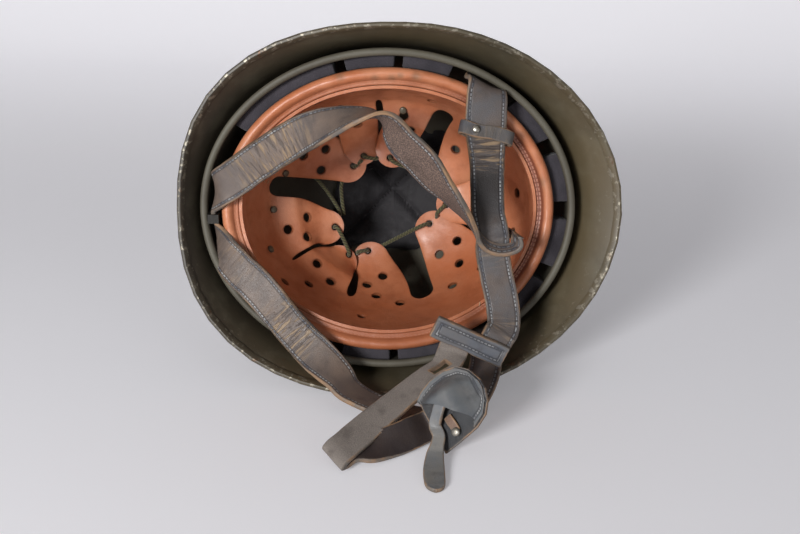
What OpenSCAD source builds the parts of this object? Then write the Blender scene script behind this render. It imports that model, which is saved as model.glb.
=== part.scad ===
// Paratrooper helmet lying on its left side: a steel shell, a liner that lifts out of it,
// a tongued leather headband laced inside the liner, and a three point leather harness.
// Helmet frame: x to the front, y to the wearer's left, z to the crown, rim plane near z = 0.
// Row frame: x to the front, y away from the opening, z up from the surface it lies on.

/* [Steel shell] */
// Length of the rim ahead of its widest place
rim_front = 142; // [132:1:155]
// Length of the rim behind its widest place
rim_rear = 144; // [134:1:156]
// Half width of the rim
rim_side = 118; // [114:1:128]
// How far the widest place of the rim lies ahead of the crown
rim_ahead = 8; // [2:1:12]
// Squareness of the rear half of the rim, 2 is an ellipse
rim_square = 2.4; // [2:0.1:2.8]
// Mean height of the rim, up or down the crown axis
rim_mean = -2; // [-6:1:2]
// Rise of the rim at the front over the rear, each way
rim_pitch = 6; // [2:1:9]
// Rise of the rim at front and rear over the sides, each way
rim_wave = 10; // [5:1:13]
// Half length of the bowl
bowl_long = 125.5; // [122:0.5:130]
// Half width of the bowl
bowl_side = 107; // [105:0.5:110]
// Height above the rim datum where the flare starts
bowl_base = 45; // [38:1:55]
// Height of the bowl above the start of the flare
bowl_rise = 120; // [115:1:130]
// How late the flare turns outwards
flare_power = 2.2; // [1.8:0.1:2.8]
// Thickness of the steel
steel_t = 1.2; // [0.9:0.1:1.6]
// Thickness of the rim edging strip
edging_t = 0.7; // [0.5:0.1:1]
// Depth of the rim edging on the shell
edging_depth = 4.5; // [3.5:0.5:6]
// Slip between the edging and the steel
edging_slip = 0.15; // [0.1:0.05:0.3]

/* [Liner] */
// How far inside the bowl's outline the liner edge lies at front and rear
liner_in_long = 2; // [1:0.5:4]
// How far inside the bowl's outline the liner edge lies at the sides
liner_in_side = 3; // [2:0.5:5]
// How far the liner edge is centred behind the crown
liner_back = 1.5; // [0:0.5:3]
// Height of the liner edge over the rim datum
liner_edge = 12; // [10:1:15]
// Share of the rim's own wave that the liner edge follows
liner_follow = 0.6; // [0.4:0.05:0.8]
// Gap between liner and steel round the bowl
liner_gap = 3; // [2.5:0.1:4]
// Gap between liner and steel at the crown
crown_gap = 0.3; // [0.2:0.05:0.5]
// Wall of the liner
liner_t = 2.6; // [2:0.1:3]
// Width of the squared edge ring of the liner
bead_w = 5.3; // [4:0.1:6]
// Height of the edge ring
bead_h = 5; // [3:0.5:7]
// Half size of the crown pad
pad_half = 52; // [44:1:60]
// Thickness of the crown pad
pad_t = 9; // [6:0.5:12]

/* [Headband] */
// Space between liner edge and headband at front and rear
band_in_long = 15; // [14:0.5:17]
// Space between liner edge and headband at the sides
band_in_side = 12.5; // [11.5:0.5:14]
// Width of the padded roll
roll_w = 11; // [9:0.5:13]
// Thickness of the padded roll from front to back
roll_h = 9; // [7:0.5:11]
// Thickness of the leather
leather_t = 2; // [1.6:0.1:2.4]
// Depth of the headband behind the roll
band_depth = 30; // [24:1:36]
// Thickness of the stiff support band
support_t = 1.2; // [0.8:0.1:1.6]
// Radius of the ring of tongue tips
tip_r = 37; // [32:1:44]
// Height of the tongue tips
tip_z = 97; // [88:1:104]
// Diameter of the vent holes
vent_d = 6.5; // [5:0.5:7.5]
// Diameter of the lace
lace_d = 2.8; // [2.2:0.1:3.2]
// Gap between pieces that lie on each other
seat_gap = 0.3; // [0.2:0.05:0.4]
// Length of a foam block along the liner wall
block_len = 30; // [24:1:34]
// Depth of a foam block
block_h = 24; // [18:1:28]

/* [Harness] */
// Width of the nape strap
nape_w = 24; // [20:0.5:26]
// Thickness of the harness leather
strap_t = 3.2; // [2.6:0.1:3.6]
// Width of the side straps
side_w = 21; // [18:0.5:22]
// Width of the right side strap where it leaves the liner
side_top_w = 26; // [22:0.5:27]
// Length of the cross bar
bar_len = 49; // [42:1:54]
// Width of the cross bar
bar_w = 14; // [12:0.5:16]
// Thickness of the cross bar
bar_t = 4.4; // [4:0.2:5]
// Width of the chin strap
chin_w = 19; // [16:0.5:20]
// Width of the chin cup at its widest
cup_w = 44; // [38:1:48]
// Length of the chin cup
cup_len = 41; // [36:1:46]
// Depth of the dome of the chin cup
cup_dome = 13; // [10:0.5:16]
// Width of the pull tab
tab_w = 11; // [9:0.5:13]
// Thickness of the pull tab
tab_t = 2.4; // [2:0.1:3]
// Height of the keeper loop along the strap
keeper_h = 9; // [7:0.5:11]
// Inside length of the keeper loop
keeper_in = 31; // [28:0.5:34]
// Clearance round a strap in a loop or slot
loop_gap = 0.7; // [0.5:0.1:1]

/* [Hidden] */
$fn = 48;

function block_name(i) = str("foam_block_", i < 9 ? "0" : "", i + 1);

// colours as the object shows them
olive = [0.29, 0.27, 0.19];
worn_steel = [0.45, 0.43, 0.38];
liner_grey = [0.36, 0.37, 0.32];
foam_grey = [0.22, 0.21, 0.23];
tan_leather = [0.72, 0.42, 0.25];
dark_leather = [0.35, 0.36, 0.38];
suede = [0.42, 0.40, 0.37];
lace_green = [0.33, 0.33, 0.22];
metal = [0.55, 0.54, 0.5];

// how many pieces each surface is drawn with
round_steps = 48;
bowl_steps = 8;
flare_steps = 5;

// half lengths and half widths of the liner edge and of the headband's outside
liner_long = bowl_long - liner_in_long;
liner_side = bowl_side - liner_in_side;
band_long = liner_long - band_in_long;
band_side = liner_side - band_in_side;

// attitude: the helmet lies on its rim and on the side of its bowl
rest_y = edging_corner(90)[1];
rest_z = edging_corner(90)[2];
qa = pow(rest_z - bowl_base, 2) - pow(bowl_rise, 2);
qb = 2 * rest_y * (rest_z - bowl_base);
qc = pow(rest_y, 2) - pow(bowl_side, 2);
lie = atan((-qb - sqrt(qb * qb - 4 * qa * qc)) / (2 * qa));
lift = rest_y * cos(lie) + rest_z * sin(lie);

// centre of the whole object over the surface it lies on
tab_reach = 147;
mid_x = -(2 * rim_ahead + rim_front - rim_rear) / 2;
back_y = bowl_base * cos(lie) + sqrt(pow(bowl_rise * cos(lie), 2) + pow(bowl_side * sin(lie), 2));
mid_y = (tab_reach - back_y) / 2;

// small vector helpers
function unit(v) = v / norm(v);
function mix(p, q, t) = p + (q - p) * t;
function ease(t) = let (x = min(max(t, 0), 1)) x * x * (3 - 2 * x);

// from the helmet frame to the row frame, before the object is centred
function row(p) = [p[0], cos(lie) * p[2] - sin(lie) * p[1], lift - cos(lie) * p[1] - sin(lie) * p[2]];

module in_row() {
    translate([mid_x, mid_y, 0]) children();
}

module in_helmet() {
    in_row() translate([0, 0, lift]) rotate([-90 - lie, 0, 0]) children();
}

// skins: rings of points joined by triangles
function band(n, j) = [for (k = [0:n - 1])
    let (a = j * n + k, b = j * n + (k + 1) % n, c = (j + 1) * n + (k + 1) % n, d = (j + 1) * n + k)
    each [[a, b, c], [a, c, d]]];

function flat(rings) = [for (r = rings) each r];

module skin(rings) {
    n = len(rings[0]);
    m = len(rings);
    start = [for (k = [1:n - 2]) [0, k + 1, k]];
    finish = [for (k = [1:n - 2]) [(m - 1) * n, (m - 1) * n + k, (m - 1) * n + k + 1]];
    polyhedron(points = flat(rings), faces = concat(start, [for (j = [0:m - 2]) each band(n, j)], finish));
}

module skin_poles(first, rings, last) {
    n = len(rings[0]);
    m = len(rings);
    p = n * m;
    start = [for (k = [0:n - 1]) [p, (k + 1) % n, k]];
    finish = [for (k = [0:n - 1]) [p + 1, (m - 1) * n + k, (m - 1) * n + (k + 1) % n]];
    polyhedron(points = concat(flat(rings), [first, last]),
        faces = concat(start, [for (j = [0:m - 2]) each band(n, j)], finish));
}

module skin_loop(rings) {
    n = len(rings[0]);
    m = len(rings);
    polyhedron(points = flat(rings), faces = [for (j = [0:m - 1]) for (k = [0:n - 1])
        let (a = j * n + k, b = j * n + (k + 1) % n,
            c = ((j + 1) % m) * n + (k + 1) % n, d = ((j + 1) % m) * n + k)
        each [[a, b, c], [a, c, d]]]);
}

// sheet with an outer and an inner grid of points, closed along its four borders
module skin_sheet(outer, inner) {
    m = len(outer);
    n = len(outer[0]);
    half = m * n;
    cells = [for (j = [0:m - 2]) for (k = [0:n - 2]) j * n + k];
    border = concat([for (k = [0:n - 1]) k], [for (j = [1:m - 1]) j * n + n - 1],
        [for (k = [n - 2:-1:0]) (m - 1) * n + k], [for (j = [m - 2:-1:1]) j * n]);
    polyhedron(points = concat(flat(outer), flat(inner)), faces = concat(
        [for (c = cells) each [[c, c + 1, c + n + 1], [c, c + n + 1, c + n]]],
        [for (c = cells) let (d = half + c) each [[d, d + n + 1, d + 1], [d, d + n, d + n + 1]]],
        [for (i = [0:len(border) - 1]) let (p = border[i], q = border[(i + 1) % len(border)])
            each [[p, half + q, q], [p, half + p, half + q]]]));
}

// smooth routes through hand placed points
function spline(p0, p1, p2, p3, t) = 0.5 * (2 * p1 + (p2 - p0) * t
    + (2 * p0 - 5 * p1 + 4 * p2 - p3) * t * t + (3 * p1 - p0 - 3 * p2 + p3) * t * t * t);

function smooth(p, n) = let (m = len(p) - 1) concat([for (i = [0:m - 1]) for (k = [0:n - 1])
    spline(p[max(i - 1, 0)], p[i], p[i + 1], p[min(i + 2, m)], k / n)], [p[m]]);

function heading(p, i) = unit(p[min(i + 1, len(p) - 1)] - p[max(i - 1, 0)]);

// leather strap: a bevelled section carried along a route with its width across the way given
function strap_section(w, t) = let (b = t * 0.28) [[w / 2, b - t / 2], [w / 2, t / 2 - b],
    [w / 2 - b, t / 2], [b - w / 2, t / 2], [-w / 2, t / 2 - b], [-w / 2, b - t / 2],
    [b - w / 2, -t / 2], [w / 2 - b, -t / 2]];

function strap_ring(p, across, i, w, t) = let (d = heading(p, i),
    a = unit(across[i] - (across[i] * d) * d), n = cross(a, d))
    [for (s = strap_section(w, t)) p[i] + a * s[0] + n * s[1]];

module strap(route, across, widths, t, n = 4) {
    p = smooth(route, n);
    a = smooth(across, n);
    w = smooth(widths, n);
    skin([for (i = [0:len(p) - 1]) strap_ring(p, a, i, w[i], t)]);
}

// rim and bowl outlines by the angle round the crown, 0 at the front
function rim_out(a) = let (n = cos(a) > 0 ? 2 : rim_square, l = cos(a) > 0 ? rim_front : rim_rear)
    pow(pow(abs(cos(a)) / l, n) + pow(abs(sin(a)) / rim_side, n), -1 / n);
function rim_at(a) = [rim_ahead + rim_out(a) * cos(a), rim_out(a) * sin(a),
    rim_mean + rim_pitch * cos(a) + rim_wave * cos(2 * a)];
function oval(a, long, side) = 1 / sqrt(pow(cos(a) / long, 2) + pow(sin(a) / side, 2));

// outside of the steel: k runs 0 at the crown, 1 where the flare starts, 2 at the rim
function steel_at(a, k) = let (r = oval(a, bowl_long, bowl_side), t = 90 * (1 - k),
    base = [r * cos(a), r * sin(a), bowl_base], w = max(k - 1, 0), e = rim_at(a))
    k < 1 ? [base[0] * cos(t), base[1] * cos(t), bowl_base + bowl_rise * sin(t)]
    : [mix(base[0], e[0], pow(w, flare_power)), mix(base[1], e[1], pow(w, flare_power)),
       mix(bowl_base, e[2], w)];

// inward direction square to the steel
function steel_in(a, k) = unit(cross(steel_at(a + 1, k) - steel_at(a - 1, k),
    steel_at(a, k + 0.02) - steel_at(a, k - 0.02)));

function turns(n) = [for (i = [0:n - 1]) 360 * i / n];
bowl_ks = concat([for (j = [1:bowl_steps]) j / bowl_steps], [for (j = [1:flare_steps]) 1 + j / flare_steps]);

module steel_shell() color(olive) in_helmet() {
    outside = [for (k = bowl_ks) [for (a = turns(round_steps)) steel_at(a, k)]];
    inside = [for (k = bowl_ks) [for (a = turns(round_steps)) steel_at(a, k) + steel_t * steel_in(a, k)]];
    m = len(bowl_ks);
    skin_poles([0, 0, bowl_base + bowl_rise],
        concat(outside, [for (j = [m - 1:-1:0]) inside[j]]),
        [0, 0, bowl_base + bowl_rise - steel_t]);
}

// folded strip over the raw rim: a channel whose slot holds the steel with a slip fit
function edging_axes(a) = let (e = steel_at(a, 2), d = unit(e - steel_at(a, 2 - 1 / flare_steps)),
    v = steel_in(a, 2)) [e, unit(v - (v * d) * d), d];
function edging_point(a, q) = let (x = edging_axes(a)) x[0] + x[1] * q[0] + x[2] * q[1];
function edging_corner(a) = edging_point(a, [-edging_t - edging_slip, edging_slip]);

module rim_edging() color(worn_steel) in_helmet() {
    far = steel_t + edging_slip;
    channel = [[-edging_t - edging_slip, -edging_depth], [-edging_slip, -edging_depth],
        [-edging_slip, edging_slip], [far, edging_slip], [far, -edging_depth],
        [far + edging_t, -edging_depth], [far + edging_t, edging_slip],
        [steel_t / 2, edging_slip + edging_t], [-edging_t - edging_slip, edging_slip]];
    skin_loop([for (a = turns(round_steps)) [for (q = channel) edging_point(a, q)]]);
}

// liner: the edge follows part of the rim's wave, the bowl keeps its gap to the steel
function liner_z(a) = liner_edge + liner_follow * (rim_mean + rim_pitch * cos(a) + rim_wave * cos(2 * a));
liner_top = bowl_base + bowl_rise - steel_t - crown_gap;
liner_rise = liner_top - bowl_base;
inner_long = bowl_long - steel_t - liner_gap;
inner_side = bowl_side - steel_t - liner_gap;

// liner surface, its depth below the outside given: k as on the steel, 2 at the edge
function liner_at(a, k, deep = 0) = let (t = 90 * (1 - k), w = max(k - 1, 0),
    r = oval(a, inner_long - deep, inner_side - deep), e = oval(a, liner_long - deep, liner_side - deep))
    k < 1 ? [r * cos(a) * cos(t), r * sin(a) * cos(t), bowl_base + (liner_rise - deep) * sin(t)]
    : [mix(r * cos(a), e * cos(a) - liner_back, ease(w)), mix(r, e, ease(w)) * sin(a),
       mix(bowl_base, liner_z(a), w)];

// station of a given height above the liner edge
function liner_k(a, h, deep = 0) = let (z = liner_z(a) + h) z < bowl_base
    ? 2 - h / (bowl_base - liner_z(a)) : 1 - asin((z - bowl_base) / (liner_rise - deep)) / 90;

liner_steps = 48;
liner_ks = [for (j = [1:7]) j / 7];
module liner_shell() color(liner_grey) in_helmet() {
    outside = concat([for (k = liner_ks) [for (a = turns(liner_steps)) liner_at(a, k)]],
        [for (h = [bead_h, 0]) [for (a = turns(liner_steps)) liner_at(a, liner_k(a, h))]]);
    edge = [[for (a = turns(liner_steps)) liner_at(a, 2, bead_w)],
        [for (a = turns(liner_steps)) liner_at(a, liner_k(a, bead_h), bead_w)],
        [for (a = turns(liner_steps)) liner_at(a, liner_k(a, bead_h + bead_w - liner_t), liner_t)]];
    inside = [for (j = [6:-1:0]) [for (a = turns(liner_steps)) liner_at(a, liner_ks[j], liner_t)]];
    skin_poles([0, 0, liner_top], concat(outside, edge, inside), [0, 0, liner_top - liner_t]);
}

// crown pad: a square cushion that follows the crown, drawn in along its crossed seams
pad_seat = liner_t + 1.1;
function pad_top_at(x, y) = bowl_base + (liner_rise - pad_seat) * sqrt(1
    - pow(x / (inner_long - pad_seat), 2) - pow(y / (inner_side - pad_seat), 2));
function pad_swell(u, v) = let (edge = (1 - pow(abs(u), 4)) * (1 - pow(abs(v), 4)),
    seam = min(1, 0.45 + 3.2 * min(abs(u + v), abs(u - v)))) 1.5 + (pad_t - 1.5) * sqrt(edge) * seam;
module crown_pad() color(foam_grey) in_helmet() {
    n = 16;
    side = n + 1;
    xy = [for (j = [0:n]) for (i = [0:n]) let (u = 2 * i / n - 1, v = 2 * j / n - 1,
        pull = 1 - 0.06 * (u * u + v * v) / 2) [pad_half * u * pull, pad_half * v * pull, u, v]];
    top = [for (p = xy) [p[0], p[1], pad_top_at(p[0], p[1])]];
    low = [for (p = xy) [p[0], p[1], pad_top_at(p[0], p[1]) - pad_swell(p[2], p[3])]];
    m = side * side;
    cells = [for (j = [0:n - 1]) for (i = [0:n - 1]) j * side + i];
    rim = concat([for (i = [0:n - 1]) i], [for (j = [0:n - 1]) j * side + n],
        [for (i = [n:-1:1]) n * side + i], [for (j = [n:-1:1]) j * side]);
    polyhedron(points = concat(top, low), faces = concat(
        [for (c = cells) each [[c, c + side, c + side + 1], [c, c + side + 1, c + 1]]],
        [for (c = cells) let (d = m + c) each [[d, d + 1, d + side + 1], [d, d + side + 1, d + side]]],
        [for (i = [0:len(rim) - 1]) let (p = rim[i], q = rim[(i + 1) % len(rim)])
            each [[p, q, m + q], [p, m + q, m + p]]]));
}

// headband: outline of the roll, and a front plane that follows the liner edge
band_proud = 2;
function band_r(a, in) = oval(a, band_long - in, band_side - in);
function band_at(a, in, z) = [band_r(a, in) * cos(a) - liner_back, band_r(a, in) * sin(a),
    liner_z(a) - band_proud + z];
band_steps = 48;
skirt_in = seat_gap + support_t + seat_gap;

module headband_roll() color(tan_leather) in_helmet() {
    h = roll_h;
    w = roll_w;
    fold = [[0, 0.45 * h], [0.06 * w, 0.18 * h], [0.28 * w, 0.02 * h], [0.55 * w, 0], [0.82 * w, 0.1 * h],
        [w, 0.4 * h], [0.96 * w, 0.75 * h], [0.72 * w, h], [skirt_in + leather_t, h + 0.3],
        [skirt_in + leather_t, band_depth], [skirt_in, band_depth], [skirt_in, 0.75 * h], [0, 0.75 * h]];
    back = [for (i = [len(fold) - 1:-1:0]) fold[i]];
    skin_loop([for (a = turns(band_steps)) [for (f = back) band_at(a, f[0], f[1])]]);
}

// stiff band that the leather is folded over
module support_band() color(foam_grey) in_helmet() {
    low = 0.75 * roll_h + seat_gap;
    strip = [[seat_gap, band_depth - 2], [seat_gap + support_t, band_depth - 2],
        [seat_gap + support_t, low], [seat_gap, low]];
    skin_loop([for (a = turns(band_steps)) [for (f = strip) band_at(a, f[0], f[1])]]);
}

// foam blocks between liner wall and support band: angle of the middle, and length
blocks = [[11, 1], [33, 1], [76, 1], [98, 1], [132, 2.3], [-11, 1], [-33, 1], [-76, 1], [-98, 1],
    [-132, 2.3]];
block_seat = liner_t + 3 * seat_gap;
module foam_block(i) color(foam_grey) in_helmet() {
    mid = blocks[i][0];
    half = blocks[i][1] * block_len / 2 / oval(mid, band_long, band_side) * 180 / PI;
    n = blocks[i][1] > 1 ? 8 : 4;
    low = bead_h + bead_w - liner_t + seat_gap;
    heights = [low, low + block_h / 2, low + block_h];
    skin([for (j = [0:n]) let (a = mid - half + 2 * half * j / n) concat(
        [for (z = [low + block_h, low]) band_at(a, -seat_gap, z + band_proud)],
        [for (z = heights) liner_at(a, liner_k(a, z, block_seat), block_seat)])]);
}

// tongued leather: one sheet sewn inside the roll and slit into nine tongues. Each tongue is a
// loft from its share of the root outline, down the wall and over, to a rounded tip.
// angle of the slit before each tongue, and how far its notch cuts into the tongues beside it
slits = [-18, 19, 70, 112, 148, 186, 229, 263, 301];
notches = [0.2, 0.12, 0.3, 0.15, 0.06, 0.25, 0.2, 0.12, 0.3];
// where each tip lies over the crown
tips = [[35, 6], [23, 13], [-20, 35], [-30, 44], [-39, 26], [-20, -19], [-21, -26], [-5, -27], [36, -2]];
// how far each tip stands proud towards the head, so that one lies over the next
fold_lift = leather_t + lace_d + 2 * seat_gap;
lifts = [1, 0, 0, 1.15, 1.9, 0, 1.25, 2.2, 0] * fold_lift;
// half the width of a tip, and how nearly its end comes round to a half circle
tip_half = 14;
tip_round = 0.98;
root_in = roll_w + seat_gap;
root_z = 0.4 * roll_h;
slit_from = 0.4;
// how soon past the start of the slit a notch reaches its width, and a tongue its lift
notch_in = 12;
lift_in = 5;
tongue_us = [0, 0.14, 0.28, slit_from, 0.44, 0.5, 0.6, 0.7, 0.8, 0.92, 1];
tongue_vs = [-1, -0.9, -0.55, 0, 0.55, 0.9, 1];
head_centre = [0, 0, 15];

function slit_after(k) = slits[(k + 1) % 9] + (k == 8 ? 360 : 0);
function root_at(a) = band_at(a, root_in, root_z);
function tongue_mid(k) = (slits[k] + slit_after(k)) / 2;

// a point of a tongue's outer face: u from root to tip, v across, -1 to 1, w the same past a notch
function tongue_face(k, u, v, w) = let (a = mix(slits[k], slit_after(k), (w + 1) / 2), r = root_at(a),
    way = unit([root_at(tongue_mid(k))[0] - tips[k][0], root_at(tongue_mid(k))[1] - tips[k][1]]),
    tip = tips[k] + way * tip_half * (1 - sqrt(1 - tip_round * v * v)) + [-way[1], way[0]] * v * tip_half,
    ring = [tip_r * cos(a) - liner_back, tip_r * sin(a)],
    t = ease((u - slit_from) / (1 - slit_from)), end = mix(ring, tip, t), c = cos(90 * u),
    deep = sin(90 * u))
    [mix(end[0], r[0], c), mix(end[1], r[1], c), mix(r[2], tip_z, deep)];
function tongue_in(p) = unit(head_centre - p);
function tongue_at(k, u, v, off = 0) = let (
    w = v * (1 - notches[v < 0 ? k : (k + 1) % 9] * ease((u - slit_from) * notch_in)),
    p = tongue_face(k, u, v, w)) p + tongue_in(p) * (off + lifts[k] * ease((u - slit_from) * lift_in));

lace_u = 0.92;
lace_hole_d = lace_d + 2;
// vent holes of each tongue, punched by hand and so not alike
vents = [[[0.31, -0.32], [0.31, 0.65], [0.6, 0.1]],
    [[0.71, -0.45], [0.71, 0.3], [0.56, -0.1], [0.41, 0.36], [0.39, -0.39]],
    [[0.57, 0.66], [0.67, -0.04], [0.46, 0.32], [0.38, -0.38], [0.19, 0.56]],
    [[0.52, 0.47], [0.32, 0.21], [0.46, -0.32], [0.15, 0.72]],
    [[0.66, 0.16], [0.49, -0.21], [0.59, -0.62]],
    [[0.71, 0.33], [0.6, -0.16], [0.76, -0.55]],
    [[0.07, 0.34], [0.07, -0.6], [0.38, -0.29], [0.6, 0.04], [0.54, -0.66]],
    [[0.52, -0.19], [0.31, 0.5], [0.62, 0.3]],
    [[0.69, -0.27], [0.46, 0.2], [0.3, -0.3]]];

module tongue_hole(k, u, v, d) {
    p = tongue_at(k, u, v);
    n = tongue_in(p);
    translate(p) rotate([0, acos(n[2]), atan2(n[1], n[0])])
        cylinder(h = 3 * leather_t, d = d, center = true, $fn = 10);
}

module tongue_sheet() {
    nu = len(tongue_us);
    nv = len(tongue_vs);
    cell = nu * nv;
    half = 9 * cell;
    from = search(slit_from, tongue_us)[0];
    outer = [for (k = [0:8]) for (u = tongue_us) for (v = tongue_vs) tongue_at(k, u, v)];
    inner = [for (k = [0:8]) for (u = tongue_us) for (v = tongue_vs) tongue_at(k, u, v, leather_t)];
    faces = [for (k = [0:8]) for (j = [0:nu - 2]) for (i = [0:nv - 2])
        let (a = k * cell + j * nv + i, b = a + 1, c = b + nv, d = a + nv)
        each [[a, c, b], [a, d, c], [half + a, half + b, half + c], [half + a, half + c, half + d]]];
    root = [for (k = [0:8]) for (i = [0:nv - 2]) let (a = k * cell + i, b = a + 1)
        each [[a, b, half + b], [a, half + b, half + a]]];
    tip = [for (k = [0:8]) for (i = [0:nv - 2]) let (a = k * cell + (nu - 1) * nv + i, b = a + 1)
        each [[a, half + b, b], [a, half + a, half + b]]];
    sides = [for (k = [0:8]) for (j = [from:nu - 2]) let (a = k * cell + j * nv, d = a + nv,
        b = a + nv - 1, c = b + nv)
        each [[a, half + d, d], [a, half + a, half + d], [b, c, half + c], [b, half + c, half + b]]];
    polyhedron(points = concat(outer, inner), faces = concat(faces, root, tip, sides));
}

module tongued_leather() color(tan_leather) in_helmet() difference() {
    tongue_sheet();
    for (k = [0:8]) {
        tongue_hole(k, lace_u, 0, lace_hole_d);
        for (h = vents[k]) tongue_hole(k, h[0], h[1], vent_d);
    }
}

// lace: whipped through the tip holes, in front of each tongue and back through its hole, with
// both ends meeting in a knot behind the first tongue
lace_order = [3, 2, 1, 0, 8, 7, 6, 5];
// how far from a hole the lace is led towards the next one and then turns in, and how much more
// it stands off the leather at the first of these
lace_reach = [8, 0.9];
lace_clear = 2;
function lace_hole(k, off) = tongue_at(k, lace_u, 0, off);
lace_front = leather_t + lace_d / 2 + seat_gap;
lace_back = -lace_d / 2 - seat_gap;
function toward(p, q, d) = p + unit(q - p) * d;
// the four places where the lace passes one hole, coming from one point and going on to another
function lace_off(off, i) = off + (i == 0 ? lace_clear * sign(off) : 0);
function lace_pass(k, from, off_from, next, off_next) = concat(
    [for (i = [0, 1]) toward(lace_hole(k, lace_off(off_from, i)), from, lace_reach[i])],
    [for (i = [1, 0]) toward(lace_hole(k, lace_off(off_next, i)), next, lace_reach[i])]);
knot = [-38, 12, 100];
lace_free = [[-58, -16, 92], [-48, -4, 97], knot + [0, 0, -1.6]];
lace_route = concat(lace_free,
    lace_pass(4, knot, lace_back, lace_hole(3, lace_front), lace_front),
    [for (i = [0:7]) let (k = lace_order[i], was = i == 0 ? 4 : lace_order[i - 1])
        each lace_pass(k, lace_hole(was, lace_front), lace_front,
            i < 7 ? lace_hole(lace_order[i + 1], lace_front) : knot, lace_back)],
    [[-37, -7, 100], knot + [3, 3, 1.6]]);

function round_ring(p, i, d) = let (
    t = heading(p, i), n = tongue_in(p[i]), a = unit(cross(t, n)), b = cross(a, t))
    [for (j = [0:7]) p[i] + (a * cos(45 * j) + b * sin(45 * j)) * d / 2];

lace_steps = 2;
module lace() color(lace_green) in_helmet() {
    p = smooth(lace_route, lace_steps);
    skin([for (i = [0:len(p) - 1]) round_ring(p, i, lace_d)]);
}

// strap roots on the liner wall: angle, height over the liner edge, distance off the wall
function wall_at(a, h, off) = row(liner_at(a, liner_k(a, h, liner_t + off), liner_t + off));
function around(a) = row(liner_at(a + 2, 1.5)) - row(liner_at(a - 2, 1.5));
anchor_a = 54;
anchor_h = 27;
anchor_depth = 14;
anchor_w = 26;
anchor_t = 1.2;
rivet_d = 7;
rivet_fn = 24;
root_gap = 1.3;
side_mid = root_gap + strap_t / 2;
// height over the liner edge and extra distance off the wall along a strap root
root_places = [[36, 0], [27, 0], [18, 0.1], [9, 2.3], [2, 3.4]];
function root_route(a) = [for (r = root_places) wall_at(a, r[0], side_mid + r[1])];

module placed(origin, x, y) {
    u = unit(x);
    w = unit(cross(u, y));
    v = cross(w, u);
    multmatrix([[u[0], v[0], w[0], origin[0]], [u[1], v[1], w[1], origin[1]], [u[2], v[2], w[2], origin[2]]])
        children();
}

module rounded_plate(l, w, t, r) {
    linear_extrude(t) {
        square([l - 2 * r, w], center = true);
        square([l, w - 2 * r], center = true);
        for (x = [-1, 1]) for (y = [-1, 1]) translate([x * (l / 2 - r), y * (w / 2 - r)]) circle(r);
    }
}

module rivet_head(d, h) {
    cylinder(h = h / 2, d1 = d, d2 = d * 0.9, $fn = rivet_fn);
    translate([0, 0, h / 2]) cylinder(h = h / 2, d1 = d * 0.9, d2 = d * 0.5, $fn = rivet_fn);
}

// anchor plate over a strap root, held to the liner by two rivets
module anchor(a) {
    off = root_gap + strap_t + 1;
    o = wall_at(a, anchor_h, off);
    up = wall_at(a, anchor_h - 4, off) - wall_at(a, anchor_h + 4, off);
    placed(o, around(a), up) {
        rounded_plate(anchor_w, anchor_depth, anchor_t, 3);
        for (x = [-1, 1]) translate([x * anchor_w * 0.3, 0, anchor_t]) rivet_head(rivet_d, 1.6);
    }
}

module nape_anchor() color(metal) in_row() {
    // flat loop round the nape strap where it runs inside the gap, riveted to the liner wall
    reach = nape_w / 2 + 2 * loop_gap;
    half = strap_t / 2 + loop_gap;
    t = anchor_t;
    translate(nape_dip) {
        difference() {
            cube([2 * (half + t), 2 * (reach + t), nape_loop_h], center = true);
            cube([2 * half, 2 * reach, 2 * nape_loop_h], center = true);
        }
        translate([-half - t, nape_rivet, 0]) rotate([0, -90, 0])
            cylinder(h = nape_dip[0] - half - t - nape_wall[0] - seat_gap, d = rivet_d);
    }
}

module right_front_anchor() color(metal) in_row() anchor(-anchor_a);
module left_front_anchor() color(metal) in_row() anchor(anchor_a);

// nape strap: from its slotted end on the right side strap, over the opening, into the gap at the
// nape, through the loop and out again to the left side
nape_in = 23;
nape_rivet = 5;
nape_wall = wall_at(180, (nape_in + nape_rivet + rivet_d / 2) / cos(lie) - liner_z(180), seat_gap);
nape_dip = [nape_wall[0] + 4.9, nape_in, lift - 9.1];
nape_loop_h = 6;
slot_at = [63.6, -18.6, 104.6];
nape_route = [[79, -17, 111], [77, -18, 105.6], [68.7, -18.5, 103.6], [60, -18.7, 106.4], [53, -21, 112.5],
    [46.5, -26, 120.5], [37.5, -32, 134.2], [26.9, -32, 146.5], [18.3, -31, 157.2], [7.3, -29, 167.5],
    [-1.9, -26, 179.4], [-15.1, -22, 182.5], [-37.1, -16, 176], [-56.2, -8, 166.4], [-81.5, 2, 148.4],
    [-99, 6, 135], nape_dip + [5.1, -12.4, 20.5], nape_dip + [0.9, -3, 11], nape_dip,
    nape_dip + [0.9, -4, -11], nape_dip + [6.9, -15, -22],
    [-97, -0.8, 74], [-85.1, -6.4, 65], [-57, -20, 36.3], [-33.4, -38, 20.2], [-23.4, -46, 11.6],
    [-6.1, -54, 6.2], [12, -62, 4], [30, -66, 3]];
nape_across = [[0, 1, 0], [0, 1, 0], [0, 1, 0], [0, 1, 0], [0, 1, 0], [-0.2, 0.95, -0.15],
    [-0.4, 0.85, -0.3], [-0.6, 0.65, -0.45], [-0.65, 0.5, -0.55], [-0.6, 0.55, -0.55], [-0.35, 0.8, -0.45],
    [0, 1, 0.05], [-0.25, 0.8, 0.5], [-0.5, 0.45, 0.74], [-0.6, 0.1, 0.8], [-0.6, 0.15, 0.78],
    [-0.45, 0.45, 0.77], [0, 0.95, 0.3], [0, 1, 0], [0, 0.95, -0.3], [-0.15, 0.9, -0.4],
    [-0.35, 0.75, -0.55],
    [-0.6, 0.4, -0.7], [-0.65, -0.1, -0.75], [-0.5, -0.8, -0.35], [-0.3, -0.95, -0.1], [-0.1, -1, 0],
    [0, -1, 0], [0, -1, 0]];
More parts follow.
